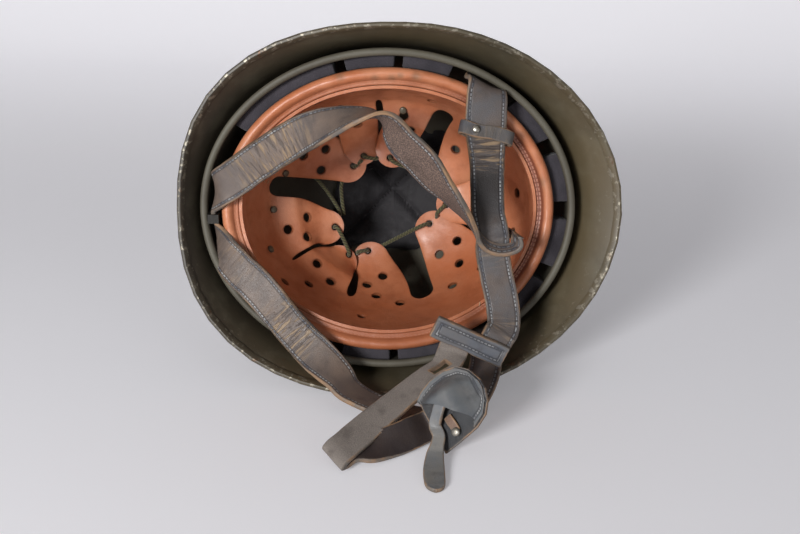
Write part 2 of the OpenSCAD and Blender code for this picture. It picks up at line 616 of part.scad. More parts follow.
module nape_strap() color(dark_leather) in_row() difference() {
    strap(nape_route, nape_across, [for (p = nape_route) nape_w], strap_t, 3);
    translate(slot_at) cube([side_w + 5 * loop_gap, strap_t + 6 * loop_gap, 24], center = true);
}

// right side strap: from its anchor, out of the gap, through the keeper and the slot of the nape strap
swing_gap = strap_t / 2 + seat_gap;
strap_swing = [64.4, -19.3, 99.2];
right_route = [each root_route(-anchor_a), [59.6, 19, 190.3], [59.3, 10, 169.5], [60.2, 0, 148.8],
    [60.9, -12.5, 123.5], [62.9, -18, 113], [64.4, -18.9, 105.6],
    strap_swing + [0, 0, swing_gap + seat_gap]];
right_across = [for (r = root_places) around(-anchor_a), [0.88, -0.07, -0.45], [1, 0, 0],
    [1, 0, 0], [1, 0, 0], [1, 0, 0], [1, 0, 0], [1, 0, 0]];
right_widths = [for (i = [0:11]) i < 7 ? side_top_w : i == 7 ? side_w + 1 : side_w];
module right_strap_upper() color(dark_leather) in_row()
    strap(right_route, right_across, right_widths, strap_t, 3);

// round end of a strap that swings: the axis of its joint runs along the end
module hinge_end(at, way, w, t = strap_t) placed(at, way, [0, 1, 0]) rotate([0, 90, 0])
    cylinder(h = w, d = t, center = true, $fn = rivet_fn);

// cross bar: a stitched leather sleeve across the end of the side strap
bar_mid = [51, -44, 46];
bar_way = unit([0.91, 0, -0.42]);
bar_down = unit([-0.42, 0, -0.91]);
bar_back = [0, bar_t / 2 + 2 * seat_gap + strap_t / 2, 0];
module cross_bar() color(dark_leather) in_row() placed(bar_mid, bar_way, bar_down)
    translate([0, 0, -bar_t / 2]) rounded_plate(bar_len, bar_w, bar_t, 1.5);

lower_s = 15.5;
lower_end = bar_mid + bar_back + bar_way * lower_s;
lower_route = [strap_swing, strap_swing + [0.5, -0.8, -4], [67.3, -23.5, 83.1],
    [71.6, -28, 65.5], [72.6, -34, 53.5],
    lower_end - bar_down * 9, lower_end + bar_down * 2, lower_end + bar_down * 9];
lower_across = [[1, 0, 0], [1, 0, 0], [1, 0, 0], [1, 0, 0], [0.95, 0, -0.25], bar_way, bar_way, bar_way];
module right_strap_lower() color(dark_leather) in_row() {
    strap(lower_route, lower_across, [for (p = lower_route) side_w], strap_t, 3);
    hinge_end(strap_swing, [1, 0, 0], side_w);
}

// keeper: a flat leather ring that slides on the side strap, closed by a small rivet
keeper_at = [59.6, 8.4, 166];
keeper_way = unit([0.02, -0.43, -0.9]);
keeper_tilt = 12;
keeper_t = 2;
module keeper_frame() placed(keeper_at, [1, 0, 0], keeper_way)
    rotate([0, 0, keeper_tilt]) rotate([90, 0, 0]) children();
module keeper_outline(grow) {
    r = strap_t / 2 + loop_gap + grow;
    hull() for (x = [-1, 1]) translate([x * (keeper_in / 2 - strap_t / 2 - loop_gap), 0]) circle(r);
}
module keeper_loop() color(dark_leather) in_row() keeper_frame() difference() {
    linear_extrude(keeper_h, center = true) keeper_outline(keeper_t);
    linear_extrude(2 * keeper_h, center = true) keeper_outline(0);
}
module keeper_rivet() color(metal) in_row() keeper_frame()
    translate([-keeper_in * 0.22, -strap_t / 2 - loop_gap - keeper_t, 0]) rotate([90, 0, 0])
        rivet_head(5, 1.6);

// left side strap: out of the gap on the low side, over the rim and down behind the chin cup
left_out = wall_at(anchor_a, root_places[4][0], side_mid + root_places[4][1]);
left_route = [each root_route(anchor_a), left_out + [6.3, -11, -2.6], left_out + [5.3, -29, -13.6],
    [60, -46, 8], [57, -58, 3.4], [54, -70, 2.6]];
left_across = [for (r = root_places) -around(anchor_a), [1, 0, 0.3], [1, 0, 0.2],
    [1, 0, 0], [1, -0.2, 0], [1, -0.2, 0]];
module left_strap() color(dark_leather) in_row()
    strap(left_route, left_across, [for (p = left_route) side_w], strap_t, 3);

// chin cup: a moulded leather dome, open at its mouth, sewn to a flat lining
cup_mouth = [26.5, -94, 13.6];
cup_u = unit([0.46, -0.61, -0.643]);
cup_v = unit([0.725, -0.16, 0.67]);
cup_n = unit(cross(cup_u, cup_v));
cup_t = 2.2;
lining_t = 2;
function cup_point(u, v, n) = cup_mouth + cup_u * u + cup_v * v + cup_n * n;
// half width of the cup along its length, as a share: drawn in at the mouth, round at the far end
cup_widest = 0.42;
cup_drawn = 0.23;
function cup_share(v) = v < cup_widest ? 1 - cup_drawn * pow((cup_widest - v) / cup_widest, 2)
    : sqrt(max(0.02, 1 - pow((v - cup_widest) / (1 - cup_widest), 2)));
cup_vs = [0, 0.14, 0.28, 0.42, 0.56, 0.7, 0.82, 0.91, 0.97, 1];
function cup_arc(v, in) = let (w = cup_w / 2 * cup_share(v) - in, h = cup_dome * cup_share(v) - in)
    [for (j = [0:12]) let (a = 180 * j / 12) cup_point(w * cos(a), cup_len * v, max(h, 0.8) * sin(a))];
module chin_cup() color(dark_leather) in_row()
    skin_sheet([for (v = cup_vs) cup_arc(v, 0)], [for (v = cup_vs) cup_arc(v, cup_t)]);
module cup_lining() color(suede) in_row() placed(cup_point(0, 0, -seat_gap - lining_t), cup_u, cup_v)
    linear_extrude(lining_t) polygon([for (d = [1, -1]) for (i = [0:len(cup_vs) - 1])
        let (v = cup_vs[d > 0 ? i : len(cup_vs) - 1 - i]) [d * cup_w / 2 * cup_share(v), cup_len * v]]);
module cup_stud() color(metal) in_row() placed(cup_point(10, 6, -seat_gap), cup_u, cup_v) rivet_head(6, 1.6);

// chin strap: hinged under the cross bar, down over the surface, folded back beneath the chin cup
chin_swing = bar_mid + bar_back - bar_way * 6 + bar_down * (bar_w / 2 + seat_gap + strap_t / 2);
chin_route = [chin_swing, chin_swing + [-1.5, -2, -4], [36, -50, 32], [26.5, -58, 29.1], [11, -72, 21.7],
    [-8.5, -95, 14.2], [-22, -113, 10], [-29, -121, 7.8], [-31.5, -124, 5.6], [-29, -123.5, 3.8],
    [-20, -118, 4.6], [-8.4, -111, 7.8], [4.6, -103.5, 9.4], [14.5, -97, 9.9], cup_point(-2, -4, -5),
    cup_point(-2, 5, -4.7), cup_point(0, 17, -4.6)];
chin_across = [bar_way, [0.85, -0.3, -0.3], [0.75, -0.65, -0.1], [0.72, -0.7, 0], [0.72, -0.7, 0],
    [0.68, -0.62, -0.2], [0.64, -0.74, -0.2], [0.62, -0.76, -0.18], [0.6, -0.78, -0.12], [0.6, -0.78, -0.15],
    [0.5, -0.83, -0.25], [0.3, -0.75, -0.6], [0.2, -0.57, -0.8], [0.3, -0.6, -0.74], cup_u, cup_u, cup_u];
module chin_strap() color(suede) in_row() difference() {
    union() {
        strap(chin_route, chin_across, [for (p = chin_route) chin_w], strap_t, 3);
        hinge_end(chin_swing, bar_way, chin_w);
    }
    placed([33, -53, 31], [0.72, 0.6, 0.3], [0.72, -0.7, 0]) linear_extrude(16, center = true)
        hull() for (x = [-4, 4]) translate([x, 0]) circle(3);
}

// pull tab: comes out of the mouth of the cup and lies on the surface
tab_hinge = cup_point(-1, 2, tab_t / 2 + seat_gap);
tab_neck = 0.7;
tab_route = [tab_hinge, cup_point(-0.5, -1.5, 1.9), cup_point(2.5, -4, 5),
    [23.5, -107, 6.2], [26, -116, 3.6], [28, -129, 2.2],
    [28.9, -141, 1.7], [29, -tab_reach, 1.6]];
module pull_tab() color(suede) in_row() {
    hinge_end(tab_hinge, cup_u, tab_w * tab_neck, tab_t);
    across = [1, 0, 0];
    strap(tab_route, [cup_u, cup_u, [0.65, -0.5, -0.5], [0.95, -0.2, -0.1], across, across, across, across],
        [for (k = [tab_neck, tab_neck, 0.65, 0.8, 1, 1, 0.9, 0.4]) tab_w * k], tab_t, 3);
}

steel_shell();
rim_edging();
liner_shell();
crown_pad();
support_band();
for (i = [0:len(blocks) - 1]) {
    foam_block(i);
}
headband_roll();
tongued_leather();
lace();
nape_anchor();
right_front_anchor();
left_front_anchor();
nape_strap();
right_strap_upper();
keeper_loop();
keeper_rivet();
right_strap_lower();
cross_bar();
left_strap();
chin_strap();
chin_cup();
cup_lining();
cup_stud();
pull_tab();
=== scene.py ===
"""A paratrooper helmet lying on its side: steel shell, lift-out liner, laced leather headband and straps.

Helmet frame: x to the wearer's front, y to the wearer's left, z to the crown. Row frame: x to the front,
y away from the opening, z up. Both are in metres. Each piece is made where its CAD node is and rides on
its body.
"""
import math

import bmesh
import bpy
import numpy as np
from mathutils import Matrix, Vector, noise
from mathutils.bvhtree import BVHTree
from mathutils.kdtree import KDTree


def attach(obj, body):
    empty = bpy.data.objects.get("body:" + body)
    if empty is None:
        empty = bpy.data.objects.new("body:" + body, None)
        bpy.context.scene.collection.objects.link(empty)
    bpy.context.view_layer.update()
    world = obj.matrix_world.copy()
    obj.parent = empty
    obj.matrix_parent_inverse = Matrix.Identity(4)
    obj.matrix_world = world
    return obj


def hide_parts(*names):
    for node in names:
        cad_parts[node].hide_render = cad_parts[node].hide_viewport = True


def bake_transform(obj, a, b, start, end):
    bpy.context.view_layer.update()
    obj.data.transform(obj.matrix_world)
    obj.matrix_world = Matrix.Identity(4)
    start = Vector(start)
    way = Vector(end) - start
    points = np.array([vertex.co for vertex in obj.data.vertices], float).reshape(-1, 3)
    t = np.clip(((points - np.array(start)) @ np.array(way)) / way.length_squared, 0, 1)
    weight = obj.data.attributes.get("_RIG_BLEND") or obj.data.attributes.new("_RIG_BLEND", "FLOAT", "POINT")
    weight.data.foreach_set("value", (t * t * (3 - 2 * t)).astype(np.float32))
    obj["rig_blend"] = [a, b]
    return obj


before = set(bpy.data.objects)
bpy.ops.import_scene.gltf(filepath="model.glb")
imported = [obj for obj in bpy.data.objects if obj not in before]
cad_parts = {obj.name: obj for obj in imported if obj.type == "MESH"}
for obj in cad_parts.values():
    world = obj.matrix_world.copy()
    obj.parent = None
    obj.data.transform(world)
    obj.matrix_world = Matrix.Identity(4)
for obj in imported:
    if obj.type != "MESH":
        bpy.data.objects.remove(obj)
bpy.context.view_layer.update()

MM = 0.001


def colour(red, green, blue):
    """A colour as the eye names it, 0 to 255, as the linear values that a shader takes."""
    def linear(c):
        return c / 255 / 12.92 if c <= 10 else ((c / 255 + 0.055) / 1.055) ** 2.4
    return linear(red), linear(green), linear(blue), 1


# camera, floor and light

LENS = 49.46 * MM
SENSOR = 36
EYE = Vector((1.0, -679.8, 320.2)) * MM
AXIS_DOWN = math.radians(19.8)
AXIS_LEFT = math.radians(0.1)
ROLL = math.radians(1.0)


def make_camera():
    data = bpy.data.cameras.new("camera")
    data.sensor_width = SENSOR
    data.lens = LENS / MM
    camera = bpy.data.objects.new("camera", data)
    bpy.context.scene.collection.objects.link(camera)
    turn = Matrix.Rotation(AXIS_LEFT, 4, "Z") @ Matrix.Rotation(math.pi / 2 - AXIS_DOWN, 4, "X")
    camera.matrix_world = Matrix.Translation(EYE) @ turn @ Matrix.Rotation(ROLL, 4, "Z")
    bpy.context.scene.camera = camera


FLOOR_NEAR, FLOOR_HALF = -2.0, 3.0
WALL_Y, WALL_TOP = 1.5, 2.0
SWEEP_R = 0.3


def make_stage():
    """A pale floor that turns up into a pale wall behind the object."""
    bpy.ops.object.select_all(action="DESELECT")
    bpy.ops.mesh.primitive_plane_add(size=1, location=(0, 0, 0))
    floor = bpy.context.object
    floor.name = "floor"
    rows = [(FLOOR_NEAR, 0.0), (WALL_Y - SWEEP_R, 0.0)]
    rows += [(WALL_Y - SWEEP_R + SWEEP_R * math.sin(t), SWEEP_R * (1 - math.cos(t)))
             for t in np.linspace(0, math.pi / 2, 9)[1:]]
    rows += [(WALL_Y, WALL_TOP)]
    mesh = bmesh.new()
    lines = [[mesh.verts.new((x, y, z)) for x in (-FLOOR_HALF, FLOOR_HALF)] for y, z in rows]
    for near, far in zip(lines, lines[1:]):
        mesh.faces.new((near[0], near[1], far[1], far[0]))
    mesh.to_mesh(floor.data)
    mesh.free()
    floor.data.shade_smooth()
    floor.data.materials.append(stage_paint())


SKY_STRENGTH = 0.24
# name, place, the spot it is aimed at, width and power
LAMPS = [
    ("key", (-0.75, -1.5, 0.55), (0, 0, 0.1), 0.45, 29),
    ("fill", (1.0, -1.5, 0.5), (0, 0, 0.1), 0.9, 2.5),
]


def make_light():
    world = bpy.data.worlds.new("studio")
    bpy.context.scene.world = world
    world.use_nodes = True
    back = world.node_tree.nodes["Background"]
    back.inputs["Color"].default_value = colour(232, 230, 230)
    back.inputs["Strength"].default_value = SKY_STRENGTH
    for name, place, aim, size, power in LAMPS:
        data = bpy.data.lights.new(name, "AREA")
        data.shape = "DISK"
        data.size = size
        data.energy = power
        lamp = bpy.data.objects.new(name, data)
        bpy.context.scene.collection.objects.link(lamp)
        lamp.location = place
        lamp.rotation_euler = (Vector(aim) - Vector(place)).to_track_quat("-Z", "Y").to_euler()


# shader helpers

NODE_SETTINGS = ("operation", "data_type", "feature", "attribute_name", "interpolation_type")


class Flow:
    """A value in a node tree: sums, differences, products and shares of it make the nodes they need."""

    def __init__(self, nodes, socket):
        self.nodes, self.socket = nodes, socket

    def __add__(self, other):
        return self.nodes.maths("ADD", self, other)

    def __radd__(self, other):
        return self.nodes.maths("ADD", other, self)

    def __sub__(self, other):
        return self.nodes.maths("SUBTRACT", self, other)

    def __rsub__(self, other):
        return self.nodes.maths("SUBTRACT", other, self)

    def __mul__(self, other):
        return self.nodes.maths("MULTIPLY", self, other)

    def __truediv__(self, other):
        return self.nodes.maths("DIVIDE", self, other)

    def __rtruediv__(self, other):
        return self.nodes.maths("DIVIDE", other, self)

    def __abs__(self):
        return self.nodes.maths("ABSOLUTE", self)


class Nodes:
    """A node tree in the making: each method adds nodes and returns the value that comes out."""

    def __init__(self, tree, end):
        self.tree, self.end = tree, end

    def feed(self, socket, value):
        if isinstance(value, Flow):
            self.tree.links.new(value.socket, socket)
        else:
            socket.default_value = value

    def finish(self, **values):
        """Values for the inputs of the last node, by name with _ for a space."""
        for name, value in values.items():
            self.feed(self.end.inputs[name.replace("_", " ")], value)

    def add(self, kind, out=0, **values):
        """One output of a new node; inputs go by name with _ for a space, or by i and their number."""
        node = self.tree.nodes.new("ShaderNode" + kind)
        for name, value in values.items():
            if name in NODE_SETTINGS:
                setattr(node, name, value)
            elif name[0] == "i" and name[1:].isdigit():
                self.feed(node.inputs[int(name[1:])], value)
            else:
                self.feed(node.inputs[name.replace("_", " ")], value)
        return Flow(self, node.outputs[out])

    def use(self, group, **values):
        """The outputs, by name, of one of the shared groups."""
        node = self.tree.nodes.new("ShaderNodeGroup")
        node.node_tree = GROUPS[group]
        for name, value in values.items():
            self.feed(node.inputs[name], value)
        return {socket.name: Flow(self, socket) for socket in node.outputs}

    def maths(self, operation, a, b=0.0):
        return self.add("Math", operation=operation, i0=a, i1=b)

    def mix(self, share, below, above):
        return self.add("Mix", 2, data_type="RGBA", i0=share, i6=below, i7=above)

    def ramp(self, value, low, high):
        """0 under low, 1 over high, smooth between."""
        return self.add("MapRange", interpolation_type="SMOOTHSTEP", Value=value, From_Min=low, From_Max=high)

    def place(self):
        return self.add("TexCoord", "Object")

    def axis(self, letter):
        return self.add("SeparateXYZ", letter, Vector=self.place())

    def mark(self, name):
        return self.add("Attribute", "Fac", attribute_name=name)

    def cloud(self, place, scale, detail=2.0, rough=0.5, twist=0.0):
        return self.add("TexNoise", "Fac", Vector=place, Scale=scale, Detail=detail, Roughness=rough,
                        Distortion=twist)

    def patches(self, place, size, cover, softness):
        return self.use("patches", Vector=place, Size=size, Cover=cover, Softness=softness)["Mask"]

    def bump(self, height, distance, strength=1.0):
        self.finish(Normal=self.add("Bump", "Normal", Height=height, Distance=distance, Strength=strength))


def new_group(name, inputs, outputs):
    """A node group with sockets of these names: its nodes and the values that come in."""
    tree = bpy.data.node_groups.new(name, "ShaderNodeTree")
    for way, labels in (("INPUT", inputs), ("OUTPUT", outputs)):
        for label in labels:
            kind = "NodeSocketVector" if label == "Vector" else "NodeSocketFloat"
            tree.interface.new_socket(label, in_out=way, socket_type=kind)
    start = tree.nodes.new("NodeGroupInput")
    nodes = Nodes(tree, tree.nodes.new("NodeGroupOutput"))
    return nodes, [Flow(nodes, start.outputs[label]) for label in inputs]


def patches_group():
    """Patches of dirt, wear or fading: cloudy shapes of a size that cover a share of the surface."""
    labels = ["Vector", "Size", "Cover", "Softness"]
    nodes, (place, size, cover, softness) = new_group("patches", labels, ["Mask"])
    edge = 0.74 - cover * 0.48
    cloud = nodes.cloud(place, 1.0 / size, 6.0, 0.62)
    nodes.finish(Mask=nodes.ramp(cloud, edge - softness, edge + softness))
    return nodes.tree


def grain_group():
    """The height of leather grain: pebbles parted by fine furrows."""
    nodes, (place, pebble) = new_group("grain", ["Vector", "Pebble"], ["Height"])
    scale = 1.0 / pebble
    warp = nodes.add("TexNoise", "Color", Vector=place, Scale=scale * 0.6, Detail=2.0)
    bent = nodes.add("VectorMath", operation="MULTIPLY_ADD", i0=warp, i1=(0.0006, 0.0006, 0.0006), i2=place)
    cells = nodes.add("TexVoronoi", "Distance", feature="DISTANCE_TO_EDGE", Vector=bent, Scale=scale)
    furrow = 1.0 - nodes.ramp(cells, 0.02, 0.2)
    nodes.finish(Height=nodes.cloud(place, scale * 3.0, 3.0) * 0.5 - furrow)
    return nodes.tree


def stitch_group():
    """One row of stitches: a mask of the thread and its groove, by distance along the row and from it."""
    labels = ["Along", "Off", "Pitch", "Thread"]
    nodes, (along, off, pitch, thread) = new_group("stitch_row", labels, ["Thread", "Groove"])
    middle = abs(nodes.maths("FRACT", along / pitch) - 0.5)
    across = abs(off) / thread
    body = 1.0 - nodes.ramp(middle, 0.3, 0.4)
    line = 1.0 - nodes.ramp(across, 0.35, 0.65)
    nodes.finish(Thread=body * line, Groove=1.0 - nodes.ramp(across, 0.5, 1.6))
    return nodes.tree


GROUPS = {"patches": patches_group(), "grain": grain_group(), "stitch_row": stitch_group()}


def new_material(name, **plain):
    """A material and its nodes, with the plain values of its shader set."""
    made = bpy.data.materials.new(name)
    made.use_nodes = True
    nodes = Nodes(made.node_tree, made.node_tree.nodes["Principled BSDF"])
    nodes.finish(**plain)
    return made, nodes


# materials

FLOOR_GLOW, WALL_GLOW = 0.26, 0.34


def stage_paint():
    made, nodes = new_material("pale_floor", Roughness=0.9, Base_Color=colour(222, 221, 225),
                               Emission_Color=colour(222, 221, 226))
    rays = [nodes.add("LightPath", kind) for kind in ("Is Camera Ray", "Is Glossy Ray")]
    glow = FLOOR_GLOW + nodes.ramp(nodes.axis("Y"), 0.2, 1.4) * WALL_GLOW
    nodes.finish(Emission_Strength=nodes.maths("MAXIMUM", *rays) * glow)
    return made


OLIVE = colour(90, 78, 56)
OLIVE_DARK = colour(62, 56, 41)
OLIVE_DUST = colour(122, 114, 94)
OLIVE_PAINTED_SHADE = colour(46, 40, 33)
RUST = colour(92, 62, 40)
BARE = colour(150, 143, 128)


def shell_paint(name, wear_from, wear_to, worn, worn_cover):
    """Matt olive paint over steel, rubbed bright and rusty where the mark 'rim' is high, with painted shade
    darkening it towards the back of the shell.
    """
    made, nodes = new_material(name, Specular_IOR_Level=0.6, Coat_Weight=0.25, Coat_Roughness=0.4)
    place = nodes.place()
    broad = nodes.patches(place, 0.09, 0.5, 0.22)
    dust = nodes.patches(place, 0.022, 0.35, 0.12)
    # painted shade: the paint is darkened towards the back of the shell, at low x
    painted_shade_at_back = 1.0 - nodes.ramp(nodes.axis("X"), -0.13, -0.01)
    tone = nodes.mix(broad, OLIVE, OLIVE_DARK)
    tone = nodes.mix(painted_shade_at_back * 0.75, tone, OLIVE_PAINTED_SHADE)
    tone = nodes.mix(dust * 0.22, tone, OLIVE_DUST)
    rim = nodes.ramp(nodes.mark("rim"), wear_from, wear_to)
    rubbed = rim * nodes.patches(place, 0.004, worn_cover, 0.04) * worn
    rusty = nodes.patches(place, 0.012, 0.3, 0.08)
    tone = nodes.mix(rubbed, tone, nodes.mix(rusty, BARE, RUST))
    stretched = nodes.add("Mapping", Vector=place, Scale=(1.0, 6.0, 1.0), Rotation=(0.3, 0.2, 0.6))
    scratch = nodes.patches(stretched, 0.01, 0.06, 0.015)
    tone = nodes.mix(scratch * 0.5, tone, OLIVE_DUST)
    rough = 0.5 + broad * 0.12 - rubbed * 0.12
    nodes.finish(Metallic=rubbed * 0.7, Base_Color=tone, Roughness=rough)
    nodes.bump(nodes.cloud(place, 1400.0, 3.0) - rubbed * 0.6, 0.0001, 0.5)
    return made


def liner_rubber():
    made, nodes = new_material("liner_rubber", Roughness=0.6)
    place = nodes.place()
    tone = nodes.mix(nodes.patches(place, 0.05, 0.5, 0.2), colour(92, 88, 76), colour(74, 69, 58))
    scuffs = nodes.patches(place, 0.004, 0.2, 0.05)
    nodes.finish(Base_Color=nodes.mix(scuffs * 0.35, tone, colour(60, 58, 48)))
    nodes.bump(nodes.cloud(place, 900.0, 3.0), 0.0001, 0.4)
    return made


def foam_rubber():
    made, nodes = new_material("foam_rubber", Roughness=0.95, Sheen_Weight=0.15)
    place = nodes.place()
    pores = nodes.add("TexVoronoi", "Distance", Vector=place, Scale=1500.0)
    tone = nodes.mix(nodes.patches(place, 0.02, 0.5, 0.2), colour(64, 60, 66), colour(50, 47, 53))
    # painted shade: the foam's pits are painted near black
    nodes.finish(Base_Color=nodes.mix(nodes.ramp(pores, 0.0, 0.25), colour(24, 22, 26), tone))
    nodes.bump(pores, 0.0006, 0.6)
    return made


def pad_cloth():
    """Dark waxed cloth of the crown pad."""
    made, nodes = new_material("pad_cloth", Roughness=0.75, Sheen_Weight=0.1)
    place = nodes.place()
    dusty = nodes.patches(place, 0.01, 0.25, 0.12)
    nodes.finish(Base_Color=nodes.mix(dusty * 0.25, colour(38, 35, 38), colour(86, 84, 86)))
    nodes.bump(nodes.cloud(place, 1200.0, 4.0), 0.0002, 0.5)
    return made


TAN = colour(186, 110, 72)
TAN_LIGHT = colour(202, 134, 98)
TAN_DEEP = colour(148, 80, 46)
TAN_EDGE = colour(112, 60, 34)
TAN_TROUGH_SHADE = colour(104, 48, 32)
TAN_THREAD = colour(176, 118, 96)
VERDIGRIS = colour(84, 86, 70)


def tan_leather(name, edge_reach, seam=False):
    """Smooth tan leather, darker at cut edges and holes, with soft creases, a few dark specks, painted shade
    low down, and painted shade in the sewn trough where it has one.
    """
    made, nodes = new_material(name, Specular_IOR_Level=0.45, Coat_Weight=0.3, Coat_Roughness=0.3)
    place = nodes.place()
    tone = nodes.mix(nodes.patches(place, 0.035, 0.5, 0.2), TAN, TAN_LIGHT)
    deep = nodes.patches(place, 0.014, 0.35, 0.14)
    tone = nodes.mix(deep * 0.45, tone, TAN_DEEP)
    # painted shade: the leather is darkened low down, towards the floor
    low = 1.0 - nodes.ramp(nodes.axis("Z"), 0.02, 0.11)
    tone = nodes.mix(low * 0.55, tone, TAN_DEEP)
    edge = 1.0 - nodes.ramp(nodes.mark("edge"), 0.0, edge_reach)
    tone = nodes.mix(edge * 0.75, tone, TAN_EDGE)
    specks = nodes.patches(place, 0.0022, 0.02, 0.02)
    tone = nodes.mix(specks * 0.7, tone, TAN_EDGE)
    ragged = 0.55 + nodes.patches(place, 0.006, 0.0, 0.02) * 0.45
    green = ragged * nodes.mark("stain")
    tone = nodes.mix(green * 0.8, tone, VERDIGRIS)
    grain = nodes.use("grain", Vector=place, Pebble=0.0011)["Height"]
    height = grain * 0.18 + nodes.cloud(place, 90.0, 3.0) * 2.2
    if seam:
        row = nodes.use("stitch_row", Along=nodes.mark("along"), Off=nodes.mark("seam"), Pitch=0.003,
                        Thread=0.0009)
        # painted shade in the roll's sewn trough, where its stitches also show
        trough = nodes.mark("trough")
        tone = nodes.mix(trough * 0.8, tone, TAN_TROUGH_SHADE)
        tone = nodes.mix(row["Thread"] * (trough * 0.85), tone, TAN_THREAD)
        height = height - row["Groove"] * 0.5 + row["Thread"] * trough * 1.2
    nodes.finish(Base_Color=tone, Roughness=0.4 + deep * 0.16)
    nodes.bump(height, 0.00045, 0.7)
    return made


GREY = colour(98, 88, 83)
GREY_WORN = colour(122, 105, 93)
GREY_BACK = colour(72, 60, 56)
NAP = colour(130, 108, 96)
SHADE = colour(22, 14, 12)
SPOT, RIDGE, FURROW_SHADE = colour(58, 52, 52), colour(150, 126, 96), colour(46, 40, 38)
NAP_SPOT = colour(56, 48, 44)
CUT_GREY, CUT_TAN = colour(104, 98, 92), colour(152, 120, 90)
THREAD_DARK, THREAD_PALE, GROOVE_SHADE = colour(74, 76, 84), colour(152, 152, 152), colour(44, 42, 46)


def strap_leather(name, grain_tone, worn_tone, back_tone, stitched, crease=1.0, nap_tone=None):
    """Harness leather: grained face, napped back, worn cut edges, creases and two rows of stitches, with
    painted shade where the mark 'shade' is high, in crease furrows and in stitch grooves.
    """
    made, nodes = new_material(name, Specular_IOR_Level=0.45)
    along, across, face, edge = (nodes.mark(m) for m in ("along", "across", "face", "edge"))
    flat = nodes.add("CombineXYZ", i0=along, i1=across, i2=face)
    place = nodes.place()
    # cloudy fading, small stains, and painted shade where the mark 'shade' is high
    tone = nodes.mix(nodes.patches(place, 0.024, 0.5, 0.16) * 0.7, grain_tone, worn_tone)
    dark = nodes.patches(place, 0.011, 0.28, 0.1)
    tone = nodes.mix(dark * 0.35, tone, SPOT)
    tone = nodes.mix(nodes.mark("shade"), tone, SHADE)
    # creases across the strap, rubbed light on their ridges and with painted shade in their furrows
    drawn = nodes.add("Mapping", Vector=flat, Scale=(1.0, 0.13, 1.0))
    lines = nodes.cloud(drawn, 420.0, 3.0, 0.55, 0.5)
    bent = nodes.ramp(nodes.mark("bend"), 0.2, 0.95) * crease
    ridge = nodes.ramp(lines, 0.52, 0.62) * bent
    furrow = (1.0 - nodes.ramp(lines, 0.36, 0.46)) * bent
    tone = nodes.mix(ridge * 0.7, tone, RIDGE)
    tone = nodes.mix(furrow * 0.5, tone, FURROW_SHADE)
    # napped back
    nap = nodes.cloud(place, 1500.0, 3.0, 0.6)
    napped = nodes.mix(nodes.ramp(nap, 0.34, 0.72), back_tone, nap_tone or worn_tone)
    napped = nodes.mix(dark * 0.4, napped, NAP_SPOT)
    back = 1.0 - nodes.ramp(face, -0.2, 0.2)
    tone = nodes.mix(back, tone, napped)
    # cut edges, grey in some stretches and tan in others
    reach = 0.0001 + nodes.cloud(place, 260.0, 4.0) * 0.0011
    rubbed = 1.0 - nodes.ramp(edge - reach, -0.0003, 0.0003)
    cut_tone = nodes.mix(nodes.patches(place, 0.016, 0.5, 0.12), CUT_GREY, CUT_TAN)
    tone = nodes.mix(rubbed * 0.85, tone, cut_tone)
    grain = nodes.use("grain", Vector=place, Pebble=0.0009)["Height"]
    height = grain * 0.25 + ridge * 1.4 - furrow * 1.4 + nap * back * 1.2
    if stitched:
        row = nodes.use("stitch_row", Along=along, Off=edge - stitched, Pitch=0.0025, Thread=0.00095)
        thread = nodes.mix(nodes.patches(place, 0.012, 0.5, 0.12), THREAD_DARK, THREAD_PALE)
        # painted shade in the groove along each row of stitches
        tone = nodes.mix(row["Groove"] * 0.6, tone, GROOVE_SHADE)
        tone = nodes.mix(row["Thread"], tone, thread)
        height = height + row["Thread"] * 1.6 - row["Groove"] * 1.0
    nodes.finish(Base_Color=tone, Roughness=0.42 + dark * 0.12 + back * 0.45)
    nodes.bump(height, 0.0003, 0.8)
    return made


def cord_cotton():
    """Twisted olive cord: strands that wind round it."""
    made, nodes = new_material("lace_cord", Roughness=0.85, Sheen_Weight=0.2)
    turn = nodes.mark("along") * 420.0 + nodes.mark("around") * 3.0
    strand = abs(nodes.maths("FRACT", turn) - 0.5)
    nodes.finish(Base_Color=nodes.mix(nodes.ramp(strand, 0.0, 0.35), colour(98, 96, 60), colour(56, 54, 34)))
    nodes.bump(0.5 - strand, 0.0005, 0.8)
    return made


def dull_metal(name, bright, tarnished, metallic=0.85):
    made, nodes = new_material(name, Metallic=metallic)
    place = nodes.place()
    tarnish = nodes.patches(place, 0.003, 0.4, 0.15)
    nodes.finish(Base_Color=nodes.mix(tarnish, bright, tarnished), Roughness=0.3 + tarnish * 0.3)
    nodes.bump(nodes.cloud(place, 900.0), 0.0001, 0.4)
    return made


def thread_cotton():
    """Pale sewing thread."""
    made, nodes = new_material("pale_thread", Roughness=0.8)
    fibre = nodes.cloud(nodes.place(), 3000.0)
    nodes.finish(Base_Color=nodes.mix(fibre, colour(150, 112, 84), colour(206, 176, 142)))
    nodes.bump(fibre, 0.0001, 0.6)
    return made


# mesh helpers

def piece_from(name, points, faces, body, material, nodes=(), marks=None, smooth=40):
    """A mesh piece that rides on a body and stands for CAD nodes; marks are values per point."""
    mesh = bpy.data.meshes.new(name)
    mesh.from_pydata([tuple(p) for p in points], [], faces)
    for label, values in (marks or {}).items():
        mesh.attributes.new(label, "FLOAT", "POINT").data.foreach_set("value", np.asarray(values, np.float32))
    piece = bpy.data.objects.new(name, mesh)
    bpy.context.scene.collection.objects.link(piece)
    return dress(piece, body, material, nodes, smooth)


def dress(piece, body, material, nodes=(), smooth=40):
    """Smooth shading, a material, a body to ride on and the CAD nodes that the piece stands for."""
    piece.data.materials.clear()
    piece.data.materials.append(material)
    soften(piece, smooth)
    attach(piece, body)
    if nodes:
        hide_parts(*nodes)
    return piece


